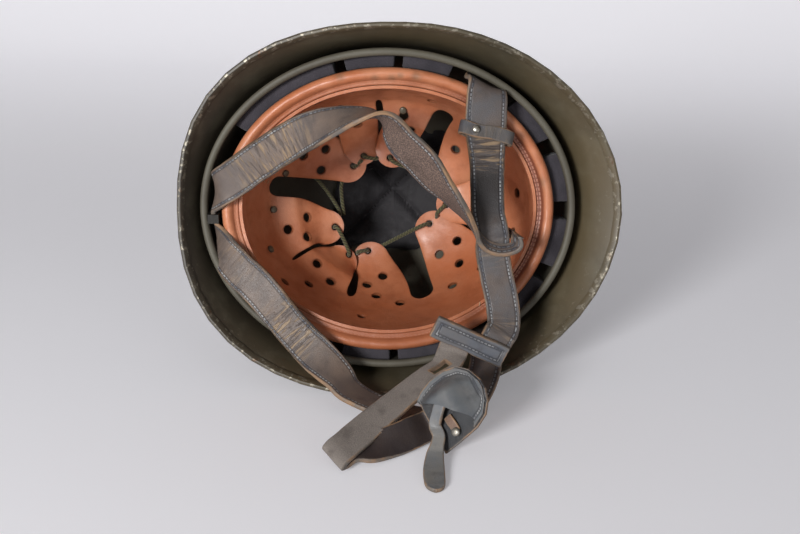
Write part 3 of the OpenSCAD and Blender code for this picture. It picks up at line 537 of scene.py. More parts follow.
def pick(piece):
    bpy.ops.object.select_all(action="DESELECT")
    piece.select_set(True)
    bpy.context.view_layer.objects.active = piece


def soften(piece, angle):
    pick(piece)
    bpy.ops.object.shade_smooth_by_angle(angle=math.radians(angle))


def apply_all(piece):
    pick(piece)
    for modifier in list(piece.modifiers):
        bpy.ops.object.modifier_apply(modifier=modifier.name)


def merged_copy(node, name, levels=0, square=40):
    """A copy of a CAD node with its loose triangles merged into quads, made finer by subdivision."""
    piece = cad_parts[node].copy()
    piece.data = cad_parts[node].data.copy()
    piece.name = name
    for key in list(piece.keys()):
        del piece[key]
    piece.parent = None
    piece.hide_render = False
    bpy.context.scene.collection.objects.link(piece)
    mesh = bmesh.new()
    mesh.from_mesh(piece.data)
    bmesh.ops.remove_doubles(mesh, verts=mesh.verts, dist=2e-6)
    bmesh.ops.join_triangles(mesh, faces=mesh.faces, angle_face_threshold=math.radians(square),
                             angle_shape_threshold=math.radians(60))
    mesh.to_mesh(piece.data)
    mesh.free()
    if piece.data.has_custom_normals:
        bpy.context.view_layer.objects.active = piece
        piece.select_set(True)
        bpy.ops.mesh.customdata_custom_splitnormals_clear()
    if levels:
        finer(piece, levels)
    return piece


def points_of(piece):
    return np.array([v.co for v in piece.data.vertices], float)


def set_mark(piece, label, values):
    made = piece.data.attributes.get(label) or piece.data.attributes.new(label, "FLOAT", "POINT")
    made.data.foreach_set("value", np.asarray(values, np.float32))


# the helmet's frame, as the CAD has it

LIE = math.radians(9.82826)
LIFT = 115.082 * MM
MID = np.array([-7.0, -8.49, 0]) * MM
OUT_OF_HELMET = np.array([[1, 0, 0], [0, -math.sin(LIE), math.cos(LIE)], [0, -math.cos(LIE), -math.sin(LIE)]])


def to_row(points):
    """From the helmet frame to the row frame."""
    return np.asarray(points, float) @ OUT_OF_HELMET.T + np.array([0, 0, LIFT]) + MID


def to_helmet(points):
    return (np.asarray(points, float) - MID - np.array([0, 0, LIFT])) @ OUT_OF_HELMET


def placed(points):
    """Points given in millimetres in the row frame, before the object is centred on its floor."""
    return np.asarray(points, float) * MM + MID


def unit(v):
    v = np.asarray(v, float)
    return v / np.linalg.norm(v)


def spline(route, steps):
    """A smooth line through given points."""
    route = [np.asarray(p, float) for p in route]
    last = len(route) - 1
    line = []
    for i in range(last):
        p0, p1, p2, p3 = route[max(i - 1, 0)], route[i], route[i + 1], route[min(i + 2, last)]
        for k in range(steps):
            t = k / steps
            line.append(0.5 * (2 * p1 + (p2 - p0) * t + (2 * p0 - 5 * p1 + 4 * p2 - p3) * t * t
                               + (3 * p1 - p0 - 3 * p2 + p3) * t ** 3))
    return np.array(line + [route[last]])


def lengths_along(line):
    return np.concatenate([[0], np.cumsum(np.linalg.norm(np.diff(line, axis=0), axis=1))])


# the CAD's own surfaces, in millimetres in the helmet frame

BOWL_BASE, LINER_RISE = 45.0, 118.5
INNER = (121.3, 102.8)
LINER_EDGE = (123.5, 104.0)
BAND = (108.5, 91.5)
LINER_WALL = 2.6
LINER_BACK = 1.5
LEATHER, LACE, GAP = 2.0, 2.8, 0.3
ROLL_W, ROLL_H, BAND_DEPTH = 11.0, 9.0, 30.0


def ramp01(t):
    t = np.clip(t, 0, 1)
    return t * t * (3 - 2 * t)


def oval(a, half):
    a = np.radians(a)
    return 1 / np.sqrt((np.cos(a) / half[0]) ** 2 + (np.sin(a) / half[1]) ** 2)


def rim_z(a):
    """The height of the shell's rim at an angle in radians: it dips at the ears."""
    return -2 + 6 * np.cos(a) + 10 * np.cos(2 * a)


def liner_z(a):
    return 12 + 0.6 * rim_z(np.radians(a))


def liner_at(a, k, deep):
    c, s = np.cos(np.radians(a)), np.sin(np.radians(a))
    r = oval(a, (INNER[0] - deep, INNER[1] - deep))
    if k < 1:
        t = math.pi / 2 * (1 - k)
        up = BOWL_BASE + (LINER_RISE - deep) * math.sin(t)
        return np.array([r * c * math.cos(t), r * s * math.cos(t), up])
    e = oval(a, (LINER_EDGE[0] - deep, LINER_EDGE[1] - deep))
    w = ramp01(k - 1)
    return np.array([r * c + (e * c - LINER_BACK - r * c) * w, (r + (e - r) * w) * s,
                     BOWL_BASE + (liner_z(a) - BOWL_BASE) * (k - 1)])


def liner_k(a, h, deep):
    z = liner_z(a) + h
    if z < BOWL_BASE:
        return 2 - h / (BOWL_BASE - liner_z(a))
    return 1 - math.degrees(math.asin((z - BOWL_BASE) / (LINER_RISE - deep))) / 90


def band_at(a, deep, z):
    r = oval(a, (BAND[0] - deep, BAND[1] - deep))
    c, s = np.cos(np.radians(a)), np.sin(np.radians(a))
    return np.stack(np.broadcast_arrays(r * c - LINER_BACK, r * s, liner_z(a) - 2 + z), -1)


def row_mm(p):
    """Millimetres in the helmet frame to millimetres in the row frame, before the object is centred."""
    return np.asarray(p, float) @ OUT_OF_HELMET.T + np.array([0, 0, LIFT / MM])


def wall_at(a, h, off):
    deep = LINER_WALL + off
    return row_mm(liner_at(a, liner_k(a, h, deep), deep))


def around(a):
    return row_mm(liner_at(a + 2, 1.5, 0)) - row_mm(liner_at(a - 2, 1.5, 0))


def wave(points, size, seed=0.0):
    """Smooth noise from -1 to 1 at each point, with shapes of a size in the points' own unit."""
    return np.array([noise.noise(Vector(p) / size + Vector((seed, seed * 1.7, -seed))) for p in points])


def noise_at(x, y, z):
    return noise.noise(Vector((x, y, z)))


# pieces carried over from the CAD

def near_rim(piece, reach):
    """The mark 'rim': 1 at the rim of the shell, 0 further up than reach, in metres."""
    p = to_helmet(points_of(piece)) / MM
    a = np.arctan2(p[:, 1], p[:, 0] - 8)
    set_mark(piece, "rim", np.clip(1 - (p[:, 2] - rim_z(a)) / (reach / MM), 0, 1))


def make_shells():
    shell = merged_copy("steel_shell", "helmet_shell", levels=2)
    near_rim(shell, 0.03)
    dress(shell, "shell", shell_paint("olive_shell", 0.6, 1.0, 0.5, 0.2), ["steel_shell"])
    edging = merged_copy("rim_edging", "shell_rim_strip", levels=0, square=20)
    round_off(edging, 0.0003, 2)
    finer(edging, 1, simple=True)
    near_rim(edging, 0.012)
    dress(edging, "shell", shell_paint("worn_rim", 0.6, 1.0, 0.85, 0.36), ["rim_edging"])
    liner = merged_copy("liner_shell", "liner_bowl", levels=2)
    dress(liner, "liner", liner_rubber(), ["liner_shell"])


def round_off(piece, width, segments, angle=35):
    edge = piece.modifiers.new("edges", "BEVEL")
    edge.width = width
    edge.segments = segments
    edge.limit_method = "ANGLE"
    edge.angle_limit = math.radians(angle)
    apply_all(piece)


def finer(piece, levels, simple=False):
    change = piece.modifiers.new("finer", "SUBSURF")
    change.levels = change.render_levels = levels
    if simple:
        change.subdivision_type = "SIMPLE"
    apply_all(piece)


def make_blocks():
    rubber = foam_rubber()
    for i in range(10):
        node = "foam_block_%02d" % (i + 1)
        block = merged_copy(node, "foam_pad_%02d" % (i + 1), levels=0, square=20)
        round_off(block, 0.0012, 3, 50)
        dress(block, "liner", rubber, [node])


def paint_node(node, material):
    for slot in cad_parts[node].material_slots:
        slot.material = material


# crown pad

PAD_HALF, PAD_T, PAD_SEAT = 52.0, 9.0, 3.7
PAD_CELLS = 26
CLOTH_FRAMES = 20


def pad_top(x, y):
    return BOWL_BASE + (LINER_RISE - PAD_SEAT) * np.sqrt(
        1 - (x / (INNER[0] - PAD_SEAT)) ** 2 - (y / (INNER[1] - PAD_SEAT)) ** 2)


def make_crown_pad():
    """A square cushion under the crown, swollen by a cloth simulation, with crossed seams."""
    n = PAD_CELLS
    side = n + 1
    s = np.linspace(-1, 1, side)
    u, v = np.meshgrid(s, s)
    u, v = u.ravel(), v.ravel()
    pull = 1 - 0.03 * (u * u + v * v)
    x, y = PAD_HALF * 0.97 * u * pull, PAD_HALF * 0.97 * v * pull
    edge = np.sqrt(np.clip((1 - u ** 4) * (1 - v ** 4), 0, 1))
    top = np.stack([x, y, pad_top(x, y) - 0.6], -1)
    low = np.stack([x, y, pad_top(x, y) - 2.4 - (PAD_T - 5) * edge], -1)
    m = side * side
    faces = []
    for j in range(n):
        for i in range(n):
            c = j * side + i
            faces.append((c, c + side, c + side + 1, c + 1))
            faces.append((m + c, m + c + 1, m + c + side + 1, m + c + side))
    rim = [i for i in range(n)] + [j * side + n for j in range(n)]
    rim += [n * side + i for i in range(n, 0, -1)] + [j * side for j in range(n, 0, -1)]
    for p, q in zip(rim, rim[1:] + rim[:1]):
        faces.append((p, q, m + q, m + p))
    pad = piece_from("crown_cushion", to_row(np.concatenate([top, low]) * MM), faces, "liner", pad_cloth(),
                     ["crown_pad"])
    swell(pad, voxel=0.004, pressure=4.0, most=0.003)
    # seams that cross at the middle, and the seat on the liner
    p = to_helmet(points_of(pad)) / MM
    low_side = ramp01((pad_top(p[:, 0], p[:, 1]) - p[:, 2] - 2.0) / 2.0)
    fold = np.minimum(np.abs(p[:, 0] + p[:, 1]), np.abs(p[:, 0] - p[:, 1])) / math.sqrt(2)
    ends = np.abs(p[:, 0]) < PAD_HALF * 0.9
    draw = 2.6 * np.exp(-(fold / 2.6) ** 2) + 0.9 * np.exp(-(fold / 0.7) ** 2)
    ripple = 0.45 * wave(p, 7.0) + 0.25 * wave(p, 3.0, 4.0)
    p[:, 2] += (draw * ends + ripple) * low_side
    p[:, 2] = np.minimum(p[:, 2], pad_top(p[:, 0], p[:, 1]) - 0.15)
    put_points(pad, to_row(p * MM))
    set_mark(pad, "seam", fold * MM)


def put_points(piece, points):
    piece.data.vertices.foreach_set("co", np.asarray(points, np.float32).ravel())
    piece.data.update()


def swell(piece, voxel, pressure, most):
    """Swell a closed pad by a cloth simulation, each point kept within a distance of its start."""
    change = piece.modifiers.new("even", "REMESH")
    change.mode = "VOXEL"
    change.voxel_size = voxel
    apply_all(piece)
    start = points_of(piece)
    cloth = piece.modifiers.new("cloth", "CLOTH")
    cloth.settings.use_pressure = True
    cloth.settings.uniform_pressure_force = pressure
    cloth.settings.effector_weights.gravity = 0
    cloth.point_cache.frame_start, cloth.point_cache.frame_end = 1, CLOTH_FRAMES
    scene = bpy.context.scene
    for k in range(1, CLOTH_FRAMES + 1):
        scene.frame_set(k)
    swollen = piece.evaluated_get(bpy.context.evaluated_depsgraph_get()).data
    end = np.array([v.co for v in swollen.vertices], float)
    piece.modifiers.remove(cloth)
    scene.frame_set(1)
    step = end - start
    far = np.linalg.norm(step, axis=1, keepdims=True)
    put_points(piece, start + step * np.minimum(1, most / np.maximum(far, 1e-9)))
    finer(piece, 1)


# headband

ROLL_LINE = [(0, 6.75), (0, 4.2), (0.5, 2.2), (1.8, 0.5), (3.6, -0.3), (5.4, 0.1), (6.9, 1.5), (8.0, 3.0),
             (9.2, 3.5), (10.3, 3.6), (11.0, 4.4), (10.7, 6.6), (8.0, 9.0), (5.0, 9.3)]
SKIRT_IN = 1.8
ROLL_TURNS = 288
# how deep in the roll its stitched rows lie, and how high its front reaches
ROLL_ROWS, ROLL_FRONT = (8.6, 10.2), 5.5


def make_roll():
    """The padded roll of the headband, full at its outer side and sewn down flat at its inner side."""
    roll = spline([np.array(p) for p in ROLL_LINE], 3)
    skirt = [(SKIRT_IN + LEATHER, 9.3)]
    skirt += [(SKIRT_IN + LEATHER, z) for z in np.linspace(12, BAND_DEPTH, 7)]
    skirt += [(SKIRT_IN, z) for z in np.linspace(BAND_DEPTH, 6.75, 8)]
    line = np.array([tuple(p) for p in roll] + skirt)
    n, turns = len(line), ROLL_TURNS
    angles = np.arange(turns) * 360.0 / turns
    grid = np.stack([band_at(a, line[:, 0], line[:, 1]) for a in angles])
    flat = grid.reshape(-1, 3)
    crest = np.tile(ramp01(1 - np.abs(np.arange(n) - 13) / 14.0), turns)
    puff = 0.55 * wave(flat, 16.0) + 0.3 * wave(flat, 6.0, 3.0)
    out = flat * np.array([1, 1, 0])
    out /= np.linalg.norm(out, axis=1, keepdims=True)
    flat = flat + (out * 0.35 - np.array([0, 0, 0.9])) * (puff * crest)[:, None]
    faces = [(j * n + k, j * n + (k + 1) % n, ((j + 1) % turns) * n + (k + 1) % n, ((j + 1) % turns) * n + k)
             for j in range(turns) for k in range(n)]
    around_m = np.repeat(np.radians(angles) * 100 * MM, n)
    deep = np.tile(line[:, 0], turns)
    front = np.tile(line[:, 1] < ROLL_FRONT, turns)
    seam = np.where(front, np.minimum(*(np.abs(deep - row) for row in ROLL_ROWS)), 9.0) * MM
    p = to_row(flat * MM)
    near_front = np.repeat(ramp01((62 - np.abs((angles + 8 + 180) % 360 - 180)) / 24), n)
    # the mark 'trough': where the sewn trough gets painted shade and shows its stitches, stronger towards the
    # front
    trough = np.where(front, ramp01((deep - 5.8) / 1.5) * (0.25 + 0.75 * near_front), 0.0)
    leather = tan_leather("tan_roll", 0.001, seam=True)
    marks = {"along": around_m, "seam": seam, "trough": trough, "edge": np.full(len(flat), 0.01)}
    piece = piece_from("padded_roll", p, faces, "liner", leather, ["headband_roll"], marks, 60)
    stain = np.zeros(len(p))
    for spot, size in ROLL_STAINS:
        place = seen_at(spot, piece)[0]
        if place is None:
            continue
        place = np.array(place)
        stain = np.maximum(stain, np.exp(-(np.linalg.norm(p - place, axis=1) / (size * MM)) ** 3))
    set_mark(piece, "stain", stain)


# where the green stains of the roll are seen in the picture, and how wide they are in millimetres
ROLL_STAINS = [((340, 76), 3.2), ((375, 78), 2.4), ((392, 78), 2.8), ((400, 76), 2.2), ((416, 77), 3.0),
               ((541, 183), 3.4), ((540, 300), 3.2), ((452, 79), 2.2)]

# the tongues: where their slits and tips lie, how each is notched and how high it lies in the fan

SLITS = [-18, 19, 70, 112, 148, 186, 229, 263, 301]
NOTCHES = [0.2, 0.12, 0.3, 0.15, 0.06, 0.25, 0.2, 0.12, 0.3]
TIPS = np.array([(35, 6), (23, 13), (-20, 35), (-30, 44), (-39, 26), (-20, -19), (-21, -26), (-5, -27),
                 (36, -2)], float)
FOLD = LEATHER + LACE + 2 * GAP
LIFTS = np.array([1, 0, 0, 1.15, 1.9, 0, 1.25, 2.2, 0]) * FOLD
TIP_R, TIP_Z, TIP_HALF, TIP_ROUND = 37.0, 97.0, 14.0, 0.98
SLIT_FROM, LACE_U, NOTCH_IN, LIFT_IN = 0.4, 0.92, 12, 5
HEART = np.array([0, 0, 15.0])
VENTS = [[(0.31, -0.32), (0.31, 0.65), (0.6, 0.1)],
         [(0.71, -0.45), (0.71, 0.3), (0.56, -0.1), (0.41, 0.36), (0.39, -0.39)],
         [(0.57, 0.66), (0.67, -0.04), (0.46, 0.32), (0.38, -0.38), (0.19, 0.56)],
         [(0.52, 0.47), (0.32, 0.21), (0.46, -0.32), (0.15, 0.72)],
         [(0.66, 0.16), (0.49, -0.21), (0.59, -0.62)],
         [(0.71, 0.33), (0.6, -0.16), (0.76, -0.55)],
         [(0.07, 0.34), (0.07, -0.6), (0.38, -0.29), (0.6, 0.04), (0.54, -0.66)],
         [(0.52, -0.19), (0.31, 0.5), (0.62, 0.3)],
         [(0.69, -0.27), (0.46, 0.2), (0.3, -0.3)]]
VENT_D = 6.5


def slit_after(k):
    return SLITS[(k + 1) % 9] + (360 if k == 8 else 0)


def tongue_inward(p):
    way = HEART - p
    return way / np.linalg.norm(way, axis=-1, keepdims=True)


def tongue_at(k, u, v, off=0.0):
    """A point of a tongue: u from root to tip, v across from -1 to 1, off towards the head."""
    u, v = np.broadcast_arrays(np.asarray(u, float), np.asarray(v, float))
    notch = np.where(v < 0, NOTCHES[k], NOTCHES[(k + 1) % 9])
    start = np.clip((u - SLIT_FROM) * NOTCH_IN, 0, 1)
    w = v * (1 - notch * np.sqrt(1 - (1 - start) ** 2))
    a = SLITS[k] + (slit_after(k) - SLITS[k]) * (w + 1) / 2
    root = band_at(a, ROLL_W + GAP, 0.4 * ROLL_H)
    way = unit(band_at((SLITS[k] + slit_after(k)) / 2, ROLL_W + GAP, 0.4 * ROLL_H)[:2] - TIPS[k])
    back = TIP_HALF * (1 - np.sqrt(1 - TIP_ROUND * v * v))
    wide = v * TIP_HALF
    tip = [TIPS[k][0] + way[0] * back - way[1] * wide, TIPS[k][1] + way[1] * back + way[0] * wide]
    ring = [TIP_R * np.cos(np.radians(a)) - LINER_BACK, TIP_R * np.sin(np.radians(a))]
    t = ramp01((u - SLIT_FROM) / (1 - SLIT_FROM))
    c, deep = np.cos(u * math.pi / 2), np.sin(u * math.pi / 2)
    end = [ring[i] + (tip[i] - ring[i]) * t for i in (0, 1)]
    p = np.stack([end[0] + (root[..., 0] - end[0]) * c, end[1] + (root[..., 1] - end[1]) * c,
                  root[..., 2] + (TIP_Z - root[..., 2]) * deep], -1)
    lift = off + LIFTS[k] * ramp01((u - SLIT_FROM) * LIFT_IN)
    return p + tongue_inward(p) * np.asarray(lift)[..., None]


def sway(p, u):
    """How far supple leather stands off its plain curve, towards the head."""
    loose = ramp01((u - 0.12) * 2.5)
    return loose * (0.9 * wave(p, 24.0) + 0.35 * wave(p, 9.0, 5.0))


def make_tongues():
    """One sheet of leather, joined at its root and slit into nine tongues, with punched holes."""
    past = np.linspace(0, 1, 38)[1:] ** 1.5
    joined = 9  # rows of points from the root to where the slits begin
    us = np.concatenate([np.linspace(0, SLIT_FROM, joined), SLIT_FROM + (1 - SLIT_FROM) * past])
    vs = np.sin(np.linspace(-math.pi / 2, math.pi / 2, 25))
    nu, nv = len(us), len(vs)
    u, v = [g.ravel() for g in np.meshgrid(us, vs, indexing="ij")]
    ids = -np.ones((9, nu, nv), int)
    places, sides = [], []
    for k in range(9):
        face = tongue_at(k, u, v)
        lift = sway(face, u)
        inward = tongue_inward(face)
        for i in range(nu * nv):
            j, c = divmod(i, nv)
            if c == 0 and j < joined and k > 0:
                ids[k, j, c] = ids[k - 1, j, nv - 1]
                continue
            if c == nv - 1 and j < joined and k == 8:
                ids[k, j, c] = ids[0, j, 0]
                continue
            ids[k, j, c] = len(places)
            places.append(face[i] + inward[i] * lift[i])
            sides.append(face[i] + inward[i] * (lift[i] + LEATHER))
    half = len(places)
    faces = []
    for k in range(9):
        g = ids[k]
        for j in range(nu - 1):
            for c in range(nv - 1):
                a, b, d, e = g[j, c], g[j, c + 1], g[j + 1, c + 1], g[j + 1, c]
                faces.append((a, e, d, b))
                faces.append((half + a, half + b, half + d, half + e))
        for c in range(nv - 1):
            faces.append((g[0, c], g[0, c + 1], half + g[0, c + 1], half + g[0, c]))
            faces.append((g[-1, c + 1], g[-1, c], half + g[-1, c], half + g[-1, c + 1]))
        for j in range(joined - 1, nu - 1):
            faces.append((g[j + 1, 0], g[j, 0], half + g[j, 0], half + g[j + 1, 0]))
            faces.append((g[j, -1], g[j + 1, -1], half + g[j + 1, -1], half + g[j, -1]))
    points = to_row(np.array(places + sides) * MM)
    sheet = piece_from("leather_tongues", points, faces, "liner", tan_leather("tan_tongues", 0.0016),
                       ["tongued_leather"], smooth=50)
    holes = []
    for k in range(9):
        holes += [(k, h[0], h[1], h[2] if len(h) > 2 else VENT_D) for h in VENTS[k]]
        holes.append((k, LACE_U, 0, LACE + 2))
    cut(sheet, [hole_cutter(k, hu, hv, d) for k, hu, hv, d in holes])
    round_off(sheet, 0.0005, 2, 50)
    # distance to the nearest cut edge or hole
    ring = []
    for k in range(9):
        for hv in (-1, 1):
            ring.append(tongue_at(k, np.linspace(SLIT_FROM, 1, 90), hv, LEATHER / 2))
        ring.append(tongue_at(k, 1, np.sin(np.linspace(-math.pi / 2, math.pi / 2, 60)), LEATHER / 2))
    border = to_row(np.concatenate(ring) * MM)
    at = [to_row(tongue_at(k, hu, hv, LEATHER / 2) * MM) for k, hu, hv, d in holes]
    p = points_of(sheet)
    edge = nearest(p, border)[1]
    for centre, (k, hu, hv, d) in zip(at, holes):
        edge = np.minimum(edge, np.abs(np.linalg.norm(p - centre, axis=1) - d / 2 * MM))
    set_mark(sheet, "edge", edge)
    set_mark(sheet, "stain", np.zeros(len(p)))


def nearest(points, targets):
    """For each point, the number of the nearest target and how far it is."""
    tree = KDTree(len(targets))
    for i, t in enumerate(targets):
        tree.insert(t, i)
    tree.balance()
    found = [tree.find(p) for p in points]
    return [f[1] for f in found], np.array([f[2] for f in found])


def hole_cutter(k, u, v, d):
    place = tongue_at(k, u, v, LEATHER / 2)
    way = to_row((place + tongue_inward(place)) * MM) - to_row(place * MM)
    return round_cutter(to_row(place * MM), way, d * MM, 0.012)


def round_cutter(place, way, d, length):
    bpy.ops.object.select_all(action="DESELECT")
    bpy.ops.mesh.primitive_cylinder_add(vertices=28, radius=d / 2, depth=length)
    made = bpy.context.object
    stand_at(made, place, way)
    return made


def stand_at(piece, place, way):
    """Move a mesh made at the origin to a place, its z axis turned to a heading."""
    turn = Vector(way).to_track_quat("Z", "Y").to_matrix().to_4x4()
    piece.data.transform(Matrix.Translation(Vector(place)) @ turn)


def cut(piece, cutters):
    """Take the cutters' shapes out of a piece, and delete the cutters."""
    bpy.ops.object.select_all(action="DESELECT")
    for c in cutters:
        c.select_set(True)
    bpy.context.view_layer.objects.active = cutters[0]
    if len(cutters) > 1:
        bpy.ops.object.join()
    tool = bpy.context.view_layer.objects.active
    change = piece.modifiers.new("holes", "BOOLEAN")
    change.operation = "DIFFERENCE"
    change.solver = "EXACT"
    change.use_self = True
    change.object = tool
    apply_all(piece)
    bpy.data.objects.remove(tool, do_unlink=True)


# lace

LACE_ORDER = [3, 2, 1, 0, 8, 7, 6, 5]
LACE_FRONT = LEATHER + LACE / 2 + GAP
LACE_BACK = -LACE / 2 - GAP
KNOT = np.array([-38, 12, 100.0])


def toward(p, q, d):
    return p + unit(q - p) * d


def lace_pass(k, back, off_from, on, off_next):
    def at(off, i):
        return tongue_at(k, LACE_U, 0, off + (2 * math.copysign(1, off) if i == 0 else 0))
    reach = [8, 0.9]
    first = [toward(at(off_from, i), back, reach[i]) for i in (0, 1)]
    return first + [toward(at(off_next, i), on, reach[i]) for i in (1, 0)]


def lace_line():
    def hole(k, off):
        return tongue_at(k, LACE_U, 0, off)
    route = [np.array(p, float) for p in ((-58, -16, 92), (-48, -4, 97))] + [KNOT + (0, 0, -1.6)]
    route += lace_pass(4, KNOT, LACE_BACK, hole(3, LACE_FRONT), LACE_FRONT)
    for i, k in enumerate(LACE_ORDER):
        was = 4 if i == 0 else LACE_ORDER[i - 1]
        on = hole(LACE_ORDER[i + 1], LACE_FRONT) if i < 7 else KNOT
        route += lace_pass(k, hole(was, LACE_FRONT), LACE_FRONT, on, LACE_BACK)
    return route + [np.array([-37, -7, 100.0]), KNOT + (3, 3, 1.6)]


def tube(line, d, cols=12):
    """Points and faces of a tube along a line, with the distance along it and the share round it."""
    m = len(line)
    heading = np.gradient(line, axis=0)
    heading /= np.linalg.norm(heading, axis=1, keepdims=True)
    side = unit(np.cross(heading[0], (0.3, 0.2, 1)))
    rings = []
    for i in range(m):
        side = unit(side - heading[i] * (side @ heading[i]))
        up = np.cross(heading[i], side)
        t = np.arange(cols) * 2 * math.pi / cols
        rings.append(line[i] + np.outer(np.cos(t) * d / 2, side) + np.outer(np.sin(t) * d / 2, up))
    faces = [(j * cols + k, j * cols + (k + 1) % cols, (j + 1) * cols + (k + 1) % cols, (j + 1) * cols + k)
             for j in range(m - 1) for k in range(cols)]
    faces += [tuple(range(cols))[::-1], tuple((m - 1) * cols + k for k in range(cols))]
    along = np.repeat(lengths_along(line), cols)
    around_it = np.tile(np.arange(cols) / cols, m)
    return np.concatenate(rings), faces, along, around_it


def make_lace():
    line = to_row(spline(lace_line(), 6) * MM)
    points, faces, along, turn = tube(line, LACE * MM)
    cotton = cord_cotton()
    lace = piece_from("headband_lace", points, faces, "liner", cotton, ["lace"],
                      {"along": along, "around": turn}, smooth=60)


# places that the camera sees

PIXELS_WIDE, PIXELS_HIGH = 800, 534


def seen_at(spot, piece):
    """The place and outward normal where the line of sight through a picture place first meets a piece."""
    turn = bpy.context.scene.camera.matrix_world.to_3x3()
    f = LENS / (SENSOR * MM) * PIXELS_WIDE
    way = turn @ Vector((spot[0] - PIXELS_WIDE / 2, PIXELS_HIGH / 2 - spot[1], -f)).normalized()
    mesh = piece.data
    tree = BVHTree.FromPolygons([v.co for v in mesh.vertices], [tuple(p.vertices) for p in mesh.polygons])
    return tree.ray_cast(EYE, way)[:2]


# harness, in millimetres

STRAP_T, SIDE_W, SIDE_TOP_W, NAPE_W, CHIN_W = 3.2, 21.0, 26.0, 24.0, 19.0
LOOP_GAP = 0.7
STRAP_BACK = colour(60, 50, 46)
FLAT_COLUMNS = 15
SIDE_TURN = np.radians([0, 30, 60])


def strap_section(width, thick):
    """Places round a strap's section, from its right corner on: across it and off its middle."""
    h = thick / 2
    c = min(1.0, h * 0.7)
    x, y = width / 2 - c, h - c
    flat = np.linspace(x, -x, FLAT_COLUMNS)
    side = np.stack([np.cos(SIDE_TURN), np.sin(SIDE_TURN)], -1) * c
    return np.concatenate([side + (x, y), np.stack([flat, np.full(FLAT_COLUMNS, h)], -1),
                           side[::-1] * (-1, 1) + (-x, y), side * (-1, -1) + (-x, -y),
                           np.stack([-flat, np.full(FLAT_COLUMNS, -h)], -1), side[::-1] * (1, -1) + (x, -y)])


def end_faces(first, turned):
    """Faces that close the end of a strap whose section starts at a point."""
    f = FLAT_COLUMNS
    top, low = [first + 3 + i for i in range(f)], [first + 9 + 2 * f - 1 - i for i in range(f)]
    made = [(top[i], top[i + 1], low[i + 1], low[i]) for i in range(f - 1)]
    left, right = first + 3 + f, first + 9 + 2 * f
    made.append((first, first + 1, first + 2, top[0], low[0], right, right + 1, right + 2))
    made.append((top[-1], left, left + 1, left + 2, left + 3, left + 4, left + 5, low[-1]))
    return [m[::-1] for m in made] if turned else made


def strap_rings(line, aim, width, thick, rounded, closed, square=1.0):
    """The sections of a strap: place, across, off, width, thickness and heading, its ends shaped."""
    if closed:
        heading = np.roll(line, -1, axis=0) - np.roll(line, 1, axis=0)
    else:
        heading = np.gradient(line, axis=0)
    rings = []
    for p, way, a, w, straight in zip(line, heading, aim, width, np.broadcast_to(square, len(line))):
        way = unit(way)
        a = unit(a - (a @ way) * way * straight)
        rings.append((p, a, unit(np.cross(a, way)), w, thick, way))
    if closed:
        return rings
    ends = []
    for end, sign in ((0, -1), (-1, 1)):
        p, a, off, w, t, way = rings[end]
        if rounded[end]:
            ends.append([(p + way * sign * t / 2 * math.sin(s), a, off, w, t * math.cos(s), way)
                         for s in np.radians([25, 50, 75])])
        else:
            rings[end] = (p - way * sign * 0.35, a, off, w, t, way)
            ends.append([(p, a, off, w - 0.7, t - 0.7, way)])
    return ends[0][::-1] + rings + ends[1]


def strap_piece(name, route, across, widths, body, material, nodes=(), steps=12, thick=STRAP_T,
                creases=0.3, rounded=(False, False), waver=0.3, sway=0.25, closed=False, seed=0.0, grain=1,
                shades=None, square=None):
    """A flat strap along a route of millimetre places, with the marks that its leather material reads."""
    def along_it(values):
        return spline([(v,) for v in values], steps)[:, 0]
    line, aim, width = spline(route, steps), spline(across, steps), along_it(widths)
    if closed:
        line, aim, width = line[:-1], aim[:-1], width[:-1]
    if np.ndim(creases):
        crease = np.clip(along_it(creases), 0, 1)
    else:
        crease = np.full(len(line), float(creases))
    shade = np.clip(along_it(shades or [0] * len(route)), 0, 1)
    straight = 1.0 if square is None else np.clip(along_it(square), 0, 1)
    rings = strap_rings(line, aim, width, thick, rounded, closed, straight)
    run = lengths_along(np.array([r[0] for r in rings]))
    crease = np.interp(run, np.linspace(0, run[-1], len(crease)), crease)
    shade = np.interp(run, np.linspace(0, run[-1], len(shade)), shade)
    points, marks = [], {m: [] for m in ("along", "across", "face", "edge", "bend", "shade")}
    n = len(strap_section(10, 2))
    for (p, a, off, w, t, _), s, c, dark in zip(rings, run, crease, shade):
        section = strap_section(w, t)
        x, y = section[:, 0], section[:, 1]
        flutter = waver * np.array([noise_at(s / 9, seed + (3 if v > 0 else 8), 0.4) for v in x])
        lift = sway * np.array([noise_at(s / 15, v / 12, seed + 2.1) for v in x])
        fold = 0.55 * c * np.array([noise_at(s / 2.6, v / 16, seed + 5.3) for v in x])
        out = x * (1 + 2 * flutter / w)
        points.append(p + np.outer(out, a) + np.outer(y + lift + fold, off))
        side = w / 2 - np.abs(x)
        if not closed:
            side = np.minimum(side, min(s, run[-1] - s))
        marks["along"].append(np.full(n, s * MM))
        marks["across"].append(x * MM)
        marks["face"].append(grain * y / (t / 2))
        marks["edge"].append(np.maximum(side, 0) * MM)
        marks["bend"].append(np.full(n, c))
        marks["shade"].append(np.full(n, dark))
    m = len(rings)
    last = m if closed else m - 1
    faces = [(j * n + k, ((j + 1) % m) * n + k, ((j + 1) % m) * n + (k + 1) % n, j * n + (k + 1) % n)
             for j in range(last) for k in range(n)]
    if not closed:
        faces += end_faces(0, True) + end_faces((m - 1) * n, False)
    piece = piece_from(name, placed(np.concatenate(points)), faces, body, material, nodes,
                       {k: np.concatenate(v) for k, v in marks.items()}, smooth=50)
    face_out(piece)
    return piece


def face_out(piece):
    """Turn all the faces of a closed piece outwards."""
    mesh = bmesh.new()
    mesh.from_mesh(piece.data)
    bmesh.ops.recalc_face_normals(mesh, faces=mesh.faces)
    mesh.to_mesh(piece.data)
    mesh.free()


